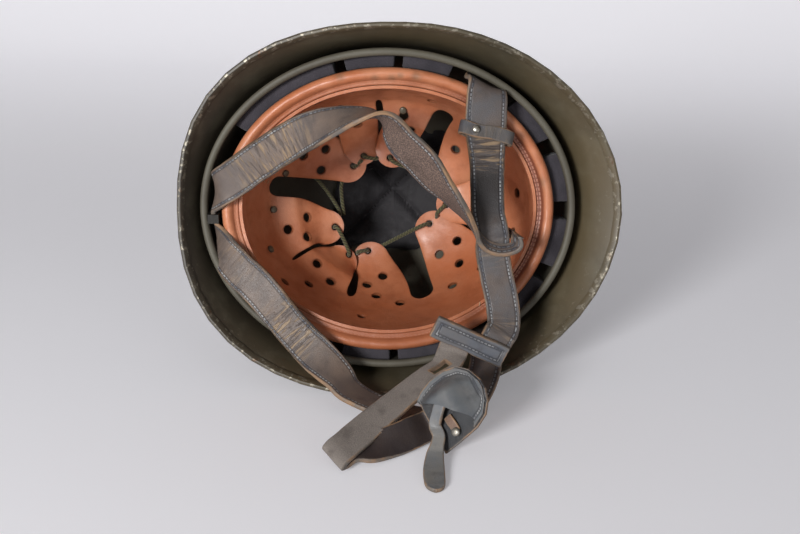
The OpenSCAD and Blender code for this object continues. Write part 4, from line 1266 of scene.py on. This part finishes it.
def cut_marked(piece, cutters):
    """Cut a piece that carries marks: each point takes its marks from the nearest point before the cut."""
    before = points_of(piece)
    labels = [a.name for a in piece.data.attributes if a.data_type == "FLOAT" and a.domain == "POINT"]
    values = {}
    for label in labels:
        values[label] = np.zeros(len(before), np.float32)
        piece.data.attributes[label].data.foreach_get("value", values[label])
    cut(piece, cutters)
    at = nearest(points_of(piece), before)[0]
    for label in labels:
        set_mark(piece, label, values[label][at])


def turned(x, y):
    """A frame whose first axis is along x and whose second is near y, as columns."""
    u = unit(x)
    w = unit(np.cross(u, y))
    return np.stack([u, np.cross(w, u), w], -1)


def slot_cutter(place, frame_axes, wide, high, deep, corner):
    """A cutter with rounded corners for a slot: a cube sized and bevelled along its depth."""
    bpy.ops.object.select_all(action="DESELECT")
    bpy.ops.mesh.primitive_cube_add(size=1)
    made = bpy.context.object
    made.scale = (wide * MM, high * MM, deep * MM)
    bpy.ops.object.transform_apply(location=False, rotation=False, scale=True)
    bpy.ops.object.mode_set(mode="EDIT")
    bpy.ops.mesh.select_all(action="DESELECT")
    mesh = bmesh.from_edit_mesh(made.data)
    for edge in mesh.edges:
        way = edge.verts[0].co - edge.verts[1].co
        edge.select = abs(way.z) > 0.9 * deep * MM and abs(way.x) < 1e-6 and abs(way.y) < 1e-6
    bmesh.update_edit_mesh(made.data)
    bpy.ops.mesh.bevel(offset=corner * MM, segments=6, affect="EDGES")
    bpy.ops.object.mode_set(mode="OBJECT")
    axes = Matrix([list(row) for row in frame_axes]).to_4x4()
    made.data.transform(Matrix.Translation(Vector(placed(place))) @ axes)
    return made


def edge_by_slot(piece, place, axes, wide, high):
    """Lower the mark 'edge' round a slot cut through a piece."""
    q = np.abs((points_of(piece) - placed(place)) @ np.asarray(axes)) / MM
    out = np.hypot(np.maximum(q[:, 0] - wide / 2, 0), np.maximum(q[:, 1] - high / 2, 0))
    edge = np.zeros(len(q), np.float32)
    piece.data.attributes["edge"].data.foreach_get("value", edge)
    near = q[:, 2] < 8
    set_mark(piece, "edge", np.where(near, np.minimum(edge, out * MM), edge))


ROOT_PLACES = [(36, 0), (27, 0), (18, 0.1), (9, 2.3), (2, 3.4)]
ANCHOR_A = 54
SIDE_MID = 1.3 + STRAP_T / 2


def root_route(a):
    return [wall_at(a, h, SIDE_MID + off) for h, off in ROOT_PLACES]


NAPE_IN = 23.0
NAPE_WALL = wall_at(180, (NAPE_IN + 5 + 3.5) / math.cos(LIE) - liner_z(180), GAP)
NAPE_DIP = np.array([NAPE_WALL[0] + 4.9, NAPE_IN, LIFT / MM - 9.1])
SLOT_AT = (63.6, -18.6, 104.6)
# the nape strap's route, the way across it and how creased it is at each place
NAPE_PLACES = [
    ((78.8, -17.4, 109), (0, 0.87, 0.5), 0.2), ((76.8, -18, 105.2), (0, 0.87, 0.5), 0.2),
    ((68.7, -18.5, 103.6), (0, 0.87, 0.5), 0.2), ((60, -18.7, 106.4), (0, 0.87, 0.45), 0.2),
    ((53, -21, 112.5), (0, 0.97, 0.2), 0.2), ((46.5, -26, 120.5), (-0.2, 0.95, -0.15), 0.15),
    ((37.5, -32, 134.2), (-0.4, 0.85, -0.3), 0.1), ((26.9, -32, 146.5), (-0.6, 0.65, -0.45), 0.1),
    ((18.3, -31, 157.2), (-0.65, 0.5, -0.55), 0.1), ((7.3, -29, 167.5), (-0.6, 0.55, -0.55), 0.2),
    ((-1.9, -26, 179.4), (-0.35, 0.8, -0.45), 0.5), ((-15.1, -22, 182.5), (0, 1, 0.05), 0.9),
    ((-37.1, -16, 176), (-0.25, 0.8, 0.5), 1.0), ((-56.2, -8, 166.4), (-0.5, 0.45, 0.74), 0.75),
    ((-81.5, 2, 148.4), (-0.6, 0.1, 0.8), 0.2), ((-99, 6, 135), (-0.45, 0.1, 0.87), 0.05),
    (NAPE_DIP + (5.1, -12.4, 20.5), (-0.3, 0.3, 0.9), 0.2), (NAPE_DIP + (0.9, -3, 11), (0, 0.95, 0.3), 0.4),
    (NAPE_DIP, (0, 1, 0), 0.5), (NAPE_DIP + (0.9, -4, -11), (-0.2, 0.9, -0.35), 0.4),
    (NAPE_DIP + (6.9, -15, -22), (-0.7, 0.4, -0.6), 0.3), ((-97, -0.8, 74), (-0.85, 0.05, -0.5), 0.9),
    ((-85.1, -6.4, 65), (-0.78, 0, -0.64), 0.8), ((-57, -20, 36.3), (-0.65, -0.1, -0.75), 0.25),
    ((-33.4, -38, 20.2), (-0.5, -0.8, -0.35), 0.15), ((-23.4, -46, 11.6), (-0.3, -0.95, -0.1), 0.15),
    ((-6.1, -54, 6.2), (-0.1, -1, 0), 0.1), ((12, -62, 4), (0, -1, 0), 0.1), ((30, -66, 3), (0, -1, 0), 0.1)]


def make_nape_strap():
    leather = strap_leather("nape_leather", GREY, GREY_WORN, GREY_BACK, 0.0023, nap_tone=NAP)
    route, across, creases = zip(*NAPE_PLACES)
    strap = strap_piece("nape_strap_leather", route, across, [NAPE_W] * len(route), "liner", leather,
                        ["nape_strap"], steps=16, creases=creases)
    wide, high = SIDE_W + 5 * LOOP_GAP, STRAP_T + 6 * LOOP_GAP
    axes = np.eye(3)
    cut_marked(strap, [slot_cutter(SLOT_AT, axes, wide, high, 24, 1.6)])
    edge_by_slot(strap, SLOT_AT, axes, wide, high)
    soften(strap, 50)


STRAP_SWING = np.array([64.4, -19.3, 99.2])
BAR_MID = np.array([51, -44, 46.0])
BAR_WAY = unit((0.91, 0, -0.42))
BAR_DOWN = unit((-0.42, 0, -0.91))
BAR_LEN, BAR_W, BAR_T = 49.0, 14.0, 4.4
BAR_BACK = np.array([0, BAR_T / 2 + 2 * GAP + STRAP_T / 2, 0])
LOWER_END = BAR_MID + BAR_BACK + BAR_WAY * 15.5


def make_side_straps():
    """The right side strap, one length from its anchor to the cross bar, and the left one."""
    leather = strap_leather("side_leather", colour(84, 82, 84), colour(98, 82, 71), STRAP_BACK, 0.0026)
    x = (1, 0, 0)
    route = root_route(-ANCHOR_A)
    route += [(59.6, 19, 190.3), (59.3, 10, 169.5), (60.2, 0, 148.8), (60.9, -12.5, 123.5), (62.9, -18, 113),
              (64.4, -18.9, 105.6), STRAP_SWING, STRAP_SWING + (0.5, -0.8, -4), (67.3, -23.5, 83.1),
              (71.6, -28, 65.5), (72.6, -34, 53.5), LOWER_END - BAR_DOWN * 9, LOWER_END + BAR_DOWN * 2,
              LOWER_END + BAR_DOWN * 9]
    across = [around(-ANCHOR_A)] * 5 + [(0.88, -0.07, -0.45)] + [x] * 9 + [(0.95, 0, -0.25)] + [BAR_WAY] * 3
    widths = [SIDE_TOP_W] * 7 + [SIDE_W + 1] + [SIDE_W] * 11
    creases = [0.1] * 5 + [0.25, 0.75, 1.0, 0.2, 0.15, 0.2, 0.3, 0.5, 0.3, 0.25, 0.3, 0.5, 0.3, 0.2]
    shades = [0] * 6 + [0.25, 0.35, 0.9, 0.8, 0.6, 0.25] + [0.1] * 7
    right = strap_piece("right_side_strap", route, [unit(a) for a in across], widths, "liner", leather,
                        ["right_strap_upper", "right_strap_lower"], steps=14, creases=creases,
                        seed=3.0, grain=-1, sway=0.12, waver=0.2, shades=shades)
    right.parent = None
    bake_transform(right, "liner", "side_strap_end", start=placed(STRAP_SWING + (0, 0, 4)),
             end=placed(STRAP_SWING - (0, 0, 5)))
    out = wall_at(ANCHOR_A, ROOT_PLACES[4][0], SIDE_MID + ROOT_PLACES[4][1])
    route = root_route(ANCHOR_A)
    route += [out + (6.3, -11, -2.6), out + (4.3, -29, -13.6), (54, -46, 8), (48, -58, 3.4), (43, -69, 2.6)]
    across = [-around(ANCHOR_A)] * 5 + [(1, 0, 0.3), (1, 0, 0.2), (1, 0, 0), (1, -0.2, 0), (1, -0.2, 0)]
    strap_piece("left_side_strap", route, [unit(a) for a in across], [SIDE_W] * len(route), "liner", leather,
                ["left_strap"], steps=12, creases=0.3, seed=7.0, grain=-1)


KEEPER_AT = np.array([59.6, 8.4, 166.0])
KEEPER_WAY = unit((0.02, -0.43, -0.9))
KEEPER_TILT = math.radians(12)
KEEPER_IN, KEEPER_H, KEEPER_T = 31.0, 9.0, 2.0


def make_keeper():
    """The flat leather ring on the right side strap, with a small bright rivet."""
    tilt = np.array(Matrix.Rotation(KEEPER_TILT, 3, "Z") @ Matrix.Rotation(math.pi / 2, 3, "X"))
    axes = turned((1, 0, 0), KEEPER_WAY) @ tilt
    reach = KEEPER_IN / 2 - STRAP_T / 2 - LOOP_GAP
    r = STRAP_T / 2 + LOOP_GAP + KEEPER_T / 2 + 0.15
    right = [(reach + r * math.cos(t), r * math.sin(t)) for t in np.linspace(math.pi / 2, -math.pi / 2, 7)]
    left = [(-reach - r * math.cos(t), r * math.sin(t)) for t in np.linspace(-math.pi / 2, math.pi / 2, 7)]
    top = [(x, r) for x in np.linspace(-reach, reach, 8)[1:-1]]
    low = [(x, -r) for x in np.linspace(reach, -reach, 8)[1:-1]]
    outline = right + low + left + top
    route = [KEEPER_AT + axes @ np.array([x, y, 0.5 * math.sin(x / 4.0)]) for x, y in outline]
    leather = strap_leather("keeper_leather", colour(74, 74, 78), colour(92, 84, 76), STRAP_BACK, 0.0)
    route.append(route[0])
    count = len(route)
    strap_piece("keeper_leather_loop", route, [axes[:, 2]] * count, [KEEPER_H] * count, "keeper", leather,
                ["keeper_loop"], steps=6, thick=KEEPER_T, creases=0.4, waver=0.4, sway=0.0,
                closed=True, seed=9.0)
    place = KEEPER_AT + axes @ np.array([-KEEPER_IN * 0.22, -r - KEEPER_T / 2, 0])
    make_stud("keeper_stud", place, -axes[:, 1], 5.0, 1.6, "keeper", ["keeper_rivet"])


def make_stud(name, place, way, d, h, body, nodes=(), metal=None):
    """A domed rivet head: a flattened half ball with a short collar down to the leather."""
    bpy.ops.object.select_all(action="DESELECT")
    bpy.ops.mesh.primitive_uv_sphere_add(segments=28, ring_count=14, radius=d / 2 * MM)
    made = bpy.context.object
    made.name = name
    bpy.ops.object.mode_set(mode="EDIT")
    bpy.ops.mesh.select_all(action="SELECT")
    bpy.ops.mesh.bisect(plane_co=(0, 0, 0.0002), plane_no=(0, 0, 1), clear_inner=True, use_fill=False)
    bpy.ops.mesh.select_all(action="SELECT")
    bpy.ops.transform.resize(value=(1, 1, 0.75 * h / (d / 2)))
    bpy.ops.mesh.select_all(action="DESELECT")
    mesh = bmesh.from_edit_mesh(made.data)
    low = min(v.co.z for v in mesh.verts)
    for edge in mesh.edges:
        edge.select = all(abs(v.co.z - low) < 1e-6 for v in edge.verts)
    bmesh.update_edit_mesh(made.data)
    bpy.ops.mesh.extrude_region_move(TRANSFORM_OT_translate={"value": (0, 0, -low - 0.0004)})
    bpy.ops.mesh.edge_face_add()
    bpy.ops.mesh.select_all(action="SELECT")
    bpy.ops.mesh.normals_make_consistent(inside=False)
    bpy.ops.object.mode_set(mode="OBJECT")
    stand_at(made, Vector(placed(place)) + Vector(way) * 0.0006, way)
    return dress(made, body, metal or METAL, nodes, 45)


def make_cross_bar():
    """A folded leather sleeve with two rows of stitches, sewn across the end of the right side strap."""
    ends = [BAR_MID + BAR_WAY * s for s in np.linspace(-BAR_LEN / 2, BAR_LEN / 2, 6)]
    tones = colour(88, 92, 100), colour(104, 100, 98), colour(150, 100, 60)
    leather = strap_leather("bar_leather", *tones, 0.0034, 0.4)
    widths = [BAR_W, BAR_W + 0.4, BAR_W, BAR_W, BAR_W + 0.4, BAR_W]
    bar = strap_piece("stitched_cross_bar", ends, [BAR_DOWN] * 6, widths, "side_strap_end", leather,
                      ["cross_bar"], steps=12, thick=BAR_T, creases=0.25, seed=11.0)
    p = (points_of(bar) - placed(BAR_MID)) / MM
    off = np.abs(np.abs(p @ BAR_DOWN) - (BAR_W / 2 - 3.4))
    front = np.cross(BAR_DOWN, BAR_WAY)
    depth = p @ front
    sink = 0.55 * np.exp(-(off / 0.8) ** 2) * (depth > 0.6 * BAR_T / 2)
    put_points(bar, points_of(bar) - np.outer(sink * MM, front))


CUP_MOUTH = np.array([26.5, -94, 13.6])
CUP_U = unit((0.46, -0.61, -0.643))
CUP_V = unit((0.725, -0.16, 0.67))
CUP_N = unit(np.cross(CUP_U, CUP_V))
CUP_LEN, CUP_DOME, CUP_T, LINING_T = 41.0, 13.0, 2.2, 2.0
CUP_WIDEST, CUP_DRAWN = 0.42, 0.23
# how far back the free edge of the dome lies, from its lower side to its upper side
CUP_MOUTH_CUT = [(-1.0, 0.6), (-0.9, 0.66), (-0.7, 0.66), (-0.5, 0.62), (-0.2, 0.52), (0.1, 0.4), (0.3, 0.29),
                 (0.6, 0.13), (0.8, 0.05), (1.0, 0.0)]
# half widths of the cup on its upper and lower side at shares of its length
CUP_UPPER = [(0, 16.5), (0.12, 19.5), (0.32, 21.8), (0.56, 22.2), (0.78, 19.8), (0.92, 14), (1.0, 5.5)]
CUP_LOWER = [(0, 18), (0.3, 17), (0.6, 15.6), (0.82, 11.8), (0.94, 6), (1.0, -1)]


def cup_sides(v):
    """The middle and the half width of the cup at a share of its length, in millimetres."""
    upper, lower = [float(np.interp(v, *zip(*rows))) for rows in (CUP_UPPER, CUP_LOWER)]
    return (lower - upper) / 2, (lower + upper) / 2


def cup_point(u, v, n):
    return CUP_MOUTH + CUP_U * u + CUP_V * v + CUP_N * n


def cup_share(v):
    if v < CUP_WIDEST:
        return 1 - CUP_DRAWN * ((CUP_WIDEST - v) / CUP_WIDEST) ** 2
    return math.sqrt(max(0.02, 1 - ((v - CUP_WIDEST) / (1 - CUP_WIDEST)) ** 2))


def sheet_faces(m, n):
    """Faces of a sheet of m rows of n places with a second layer under it, closed round its rim."""
    half = m * n
    faces = []
    for j in range(m - 1):
        for k in range(n - 1):
            c = j * n + k
            faces.append((c, c + 1, c + n + 1, c + n))
            faces.append((half + c, half + c + n, half + c + n + 1, half + c + 1))
    rim = [k for k in range(n)] + [j * n + n - 1 for j in range(1, m)]
    rim += [(m - 1) * n + k for k in range(n - 2, -1, -1)] + [j * n for j in range(m - 2, 0, -1)]
    return faces + [(p, q, half + q, half + p) for p, q in zip(rim, rim[1:] + rim[:1])]


def cup_piece(name, rows, faces, material, node):
    """A piece of the cup from rows of a place and its marks: along, across, face, edge and bend."""
    places, *columns = zip(*rows)
    marks = dict(zip(("along", "across", "face", "edge", "bend"), columns))
    piece = piece_from(name, placed(np.array(places)), faces, "chin_piece", material, [node], marks, 50)
    face_out(piece)
    round_off(piece, 0.0004, 2, 50)


CUP_BEND = 0.1


def make_chin_cup():
    """The chin cup, a moulded dome of leather open at its mouth, sewn down to a flat lining."""
    tones = colour(86, 90, 94), colour(108, 106, 104), colour(30, 30, 32)
    leather = strap_leather("cup_leather", *tones, 0.0036, 0.3)
    shares = 1 - (1 - np.linspace(0, 1, 34)) ** 1.6
    arcs = np.radians(np.linspace(0, 180, 41))
    mouth = np.interp(-np.cos(arcs), *zip(*CUP_MOUTH_CUT))
    rows = []
    for off in (0.0, CUP_T):
        for way in shares:
            for i, a in enumerate(arcs):
                v = mouth[i] + (1 - mouth[i]) * way
                middle, half_wide = cup_sides(v)
                inward = 1 - abs(math.cos(a))
                rise = float(ramp01((inward - 0.09) / 0.6) ** 0.8 * ramp01((0.97 - v) / 0.42) ** 0.7)
                w = half_wide - off
                h = max(CUP_DOME * cup_share(min(v, 0.8)) * rise - off, 0.8 - off / CUP_T * 0.75)
                near = min(w * inward, CUP_LEN * (1 - v))
                dent = 0.7 * noise_at(math.cos(a) * 1.3, v * 2.2, 3.7) * rise
                place = cup_point(middle + w * math.cos(a), CUP_LEN * v, h + dent)
                face, edge = (-1.0, 9) if off else (1.0, 0.6 + near)
                rows.append((place, CUP_LEN * (v + 0.4 * v ** 4) * MM, w * a * MM, face, edge * MM, CUP_BEND))
    cup_piece("chin_cup_dome", rows, sheet_faces(len(shares), len(arcs)), leather, "chin_cup")


def make_cup_lining():
    """The flat lining of the cup, its edge left rough and tan."""
    suede = strap_leather("lining_leather", colour(40, 42, 46), colour(54, 52, 52), colour(120, 96, 76), 0.0)
    vs = 1 - (1 - np.linspace(0, 1, 30)) ** 1.6
    ss = np.linspace(-1, 1, 25)
    rows = []
    for off, face in ((-GAP, 1.0), (-GAP - LINING_T, -1.0)):
        for v in vs:
            middle, w = cup_sides(v)
            w += 1.0
            for s in ss:
                ripple = 0.25 * noise_at(s * 3, v * 4, 1.3)
                place = cup_point(middle + s * w, (CUP_LEN + 0.8) * v, off + ripple)
                edge = min(w * (1 - abs(s)), CUP_LEN * v, CUP_LEN * (1 - v) + 2)
                rows.append((place, CUP_LEN * v * MM, s * w * MM, face, edge * MM, CUP_BEND))
    cup_piece("cup_lining_leather", rows, sheet_faces(len(vs), len(ss)), suede, "cup_lining")
    strip = strap_leather("strip_leather", colour(112, 88, 74), colour(128, 104, 88), colour(90, 70, 60), 0.0)
    route = [cup_point(*p) for p in ((1.6, 12.8, 0.9), (4, 13.2, 1.3), (7.5, 13.8, 1.4), (12, 14.1, 0.9))]
    strap_piece("mouth_strip", route, [-CUP_V] * 4, [5, 5.5, 5.5, 5], "chin_piece", strip, steps=8,
                thick=1.5, sway=0.15, seed=19.0)
    make_stud("cup_stud_head", cup_point(12.2, 13.8, 1.6), CUP_N, 5.2, 1.7, "chin_piece", ["cup_stud"])


CHIN_SWING = BAR_MID + BAR_BACK - BAR_WAY * 6 + BAR_DOWN * (BAR_W / 2 + GAP + STRAP_T / 2)
CHIN_FOLD = np.array([-27.5, -120.4, 7.2])
FOLD_WAY = unit((0.606, -0.748, -0.267))
CHIN_SLOT_AT, CHIN_SLOT = (33, -53, 31), (14, 6)


def make_chin_strap():
    """The chin strap, flesh side out: under the cross bar, down, folded back and sewn beneath the cup."""
    off = np.array([0.18, -0.54, 1.92])
    way = unit((-0.59, -0.79, -0.17))
    route = [CHIN_SWING, CHIN_SWING + (-1.5, -2, -4), (36, -50, 32), (26.5, -58, 29.1), (11, -72, 21.7),
             (-8.5, -95, 14.6), CHIN_FOLD + off - way * 12, CHIN_FOLD + off - way * 2.5,
             CHIN_FOLD + way * 2.0, CHIN_FOLD - off - way * 2.5, CHIN_FOLD - off - way * 10 + (1.5, -2, 0),
             (-8.4, -111.5, 6.2), (4.6, -104, 8.2), (14.5, -97, 9.4), cup_point(-2, -4, -5),
             cup_point(-2, 5, -4.7), cup_point(0, 17, -4.6)]
    across = [BAR_WAY, (0.85, -0.3, -0.3), (0.75, -0.65, -0.1), (0.72, -0.7, 0), (0.72, -0.68, -0.1),
              (0.7, -0.66, -0.25), FOLD_WAY, FOLD_WAY, FOLD_WAY, FOLD_WAY, FOLD_WAY, (0.5, -0.83, -0.25),
              (0.3, -0.7, -0.65), (0.3, -0.6, -0.74), CUP_U, CUP_U, CUP_U]
    widths = [CHIN_W] * 5 + [CHIN_W + 0.5] + [CHIN_W + 1.5] * 4 + [CHIN_W + 0.5] + [CHIN_W] * 6
    square = [1] * 5 + [0.6, 0, 0, 0, 0, 0, 0.5] + [1] * 5
    # the grain face is dark brown partly of its own and partly as painted shade for the folded lower layer,
    # which shows this face
    suede = strap_leather("chin_leather", colour(50, 42, 42), colour(62, 52, 48), colour(118, 110, 105), 0.0,
                          nap_tone=colour(136, 127, 119))
    strap = strap_piece("chin_strap_leather", route, across, widths, "chin_piece", suede,
                        ["chin_strap"], steps=14, creases=0.1, rounded=(True, False), seed=13.0,
                        square=square)
    axes = turned((0.72, 0.6, 0.3), (0.72, -0.7, 0))
    cut_marked(strap, [slot_cutter(CHIN_SLOT_AT, axes, *CHIN_SLOT, 16, 2.9)])
    edge_by_slot(strap, CHIN_SLOT_AT, axes, *CHIN_SLOT)
    soften(strap, 50)


TAB_W, TAB_T, TAB_REACH, TAB_NECK = 11.0, 2.4, 147.0, 0.7


def thread(ends, d):
    """A stitch: a short thread bowed off the leather between two places, in metres."""
    a, b, off = [np.array(e, float) for e in ends]
    line = np.array([a + (b - a) * t + off * math.sin(math.pi * t) for t in np.linspace(0, 1, 7)])
    return tube(line, d, 6)[:2]


def make_details():
    """Rivets of the headband, the pale stitches that end two slits, and their thread."""
    sheet = bpy.data.objects["leather_tongues"]
    for i, spot in enumerate(RIVET_SPOTS):
        place, normal = seen_at(spot, sheet)
        if normal is None:
            continue
        middle = (np.array(place) - MID) / MM
        make_stud("band_rivet_%d" % (i + 1), middle, normal, 5.0, 1.0, "liner", (), RIVET_PAINT)
    points, faces = [], []
    for row in SLIT_STITCHES:
        for spot, lean in row:
            place, normal = seen_at(spot, sheet)
            if normal is None:
                continue
            way = unit(np.array(lean) - normal * (np.array(lean) @ np.array(normal)))
            place = np.array(place) + np.array(normal) * 0.0002
            ends = (place - way * 0.0013, place + way * 0.0013, np.array(normal) * 0.0005)
            got, shape = thread(ends, 0.0006)
            faces += [tuple(len(points) + k for k in f) for f in shape]
            points += list(got)
    piece_from("slit_stitches", points, faces, "liner", thread_cotton(), smooth=60)


# where rivets and stitches are seen in the picture; a stitch also has the way it leans
RIVET_SPOTS = [(285, 173), (273, 209.5), (270, 249.5), (403, 110)]
SLIT_STITCHES = [[((264 + 3.4 * i, 181.5 + 0.5 * i), (0.7, 0.1, 0.6 if i % 2 else -0.6)) for i in range(8)],
                 [((479.5 + (i % 2) * 2.4, 304 + 2.2 * i), (0.2, 0.1, 1.0)) for i in range(4)]]


def make_pull_tab():
    """The pull tab, which comes out of the mouth of the cup and lies on the surface."""
    route = [cup_point(-6, 15.5, 6.2), cup_point(-2, 10, 5.2), cup_point(2.6, 4.5, 3.7), (31.2, -103.4, 12.1),
             (30.3, -108.2, 8.2), (29, -114, 4.8), (28.2, -126, 2.6), (28.4, -137, 1.8), (28.8, -142, 1.7),
             (29, -144.7, 1.65), (29, -146.2, 1.6), (29, -TAB_REACH, 1.6)]
    x = (1, 0, 0)
    across = [CUP_U, CUP_U, (0.75, -0.45, -0.45), (0.95, -0.25, -0.15)] + [x] * 8
    shares = [TAB_NECK, TAB_NECK, TAB_NECK, TAB_NECK, 0.75, 0.95, 1.12, 1.1, 0.98, 0.75, 0.48, 0.2]
    tones = colour(116, 118, 121), colour(130, 123, 113), colour(80, 72, 66)
    leather = strap_leather("tab_leather", *tones, 0.0)
    strap_piece("pull_tab_leather", route, across, [TAB_W * s for s in shares], "tab", leather,
                ["pull_tab"], steps=8, thick=TAB_T, creases=0.2, rounded=(True, False), waver=0.15, sway=0.1,
                seed=17.0, grain=-1)


make_camera()
bpy.context.scene.view_settings.view_transform = "Standard"
make_lace()
make_stage()
make_light()
make_shells()
make_blocks()
make_crown_pad()
make_roll()
make_tongues()
paint_node("support_band", foam_rubber())
METAL = dull_metal("dull_metal", colour(186, 182, 172), colour(96, 88, 74))
RIVET_PAINT = dull_metal("rivet_paint", colour(104, 98, 82), colour(74, 66, 54), 0.2)
DARK_METAL = dull_metal("blackened_metal", colour(52, 50, 46), colour(36, 33, 30), 0.4)
make_nape_strap()
make_side_straps()
make_keeper()
make_cross_bar()
make_chin_strap()
make_chin_cup()
make_cup_lining()
make_pull_tab()
for node in ("nape_anchor", "right_front_anchor", "left_front_anchor"):
    paint_node(node, DARK_METAL)
make_details()
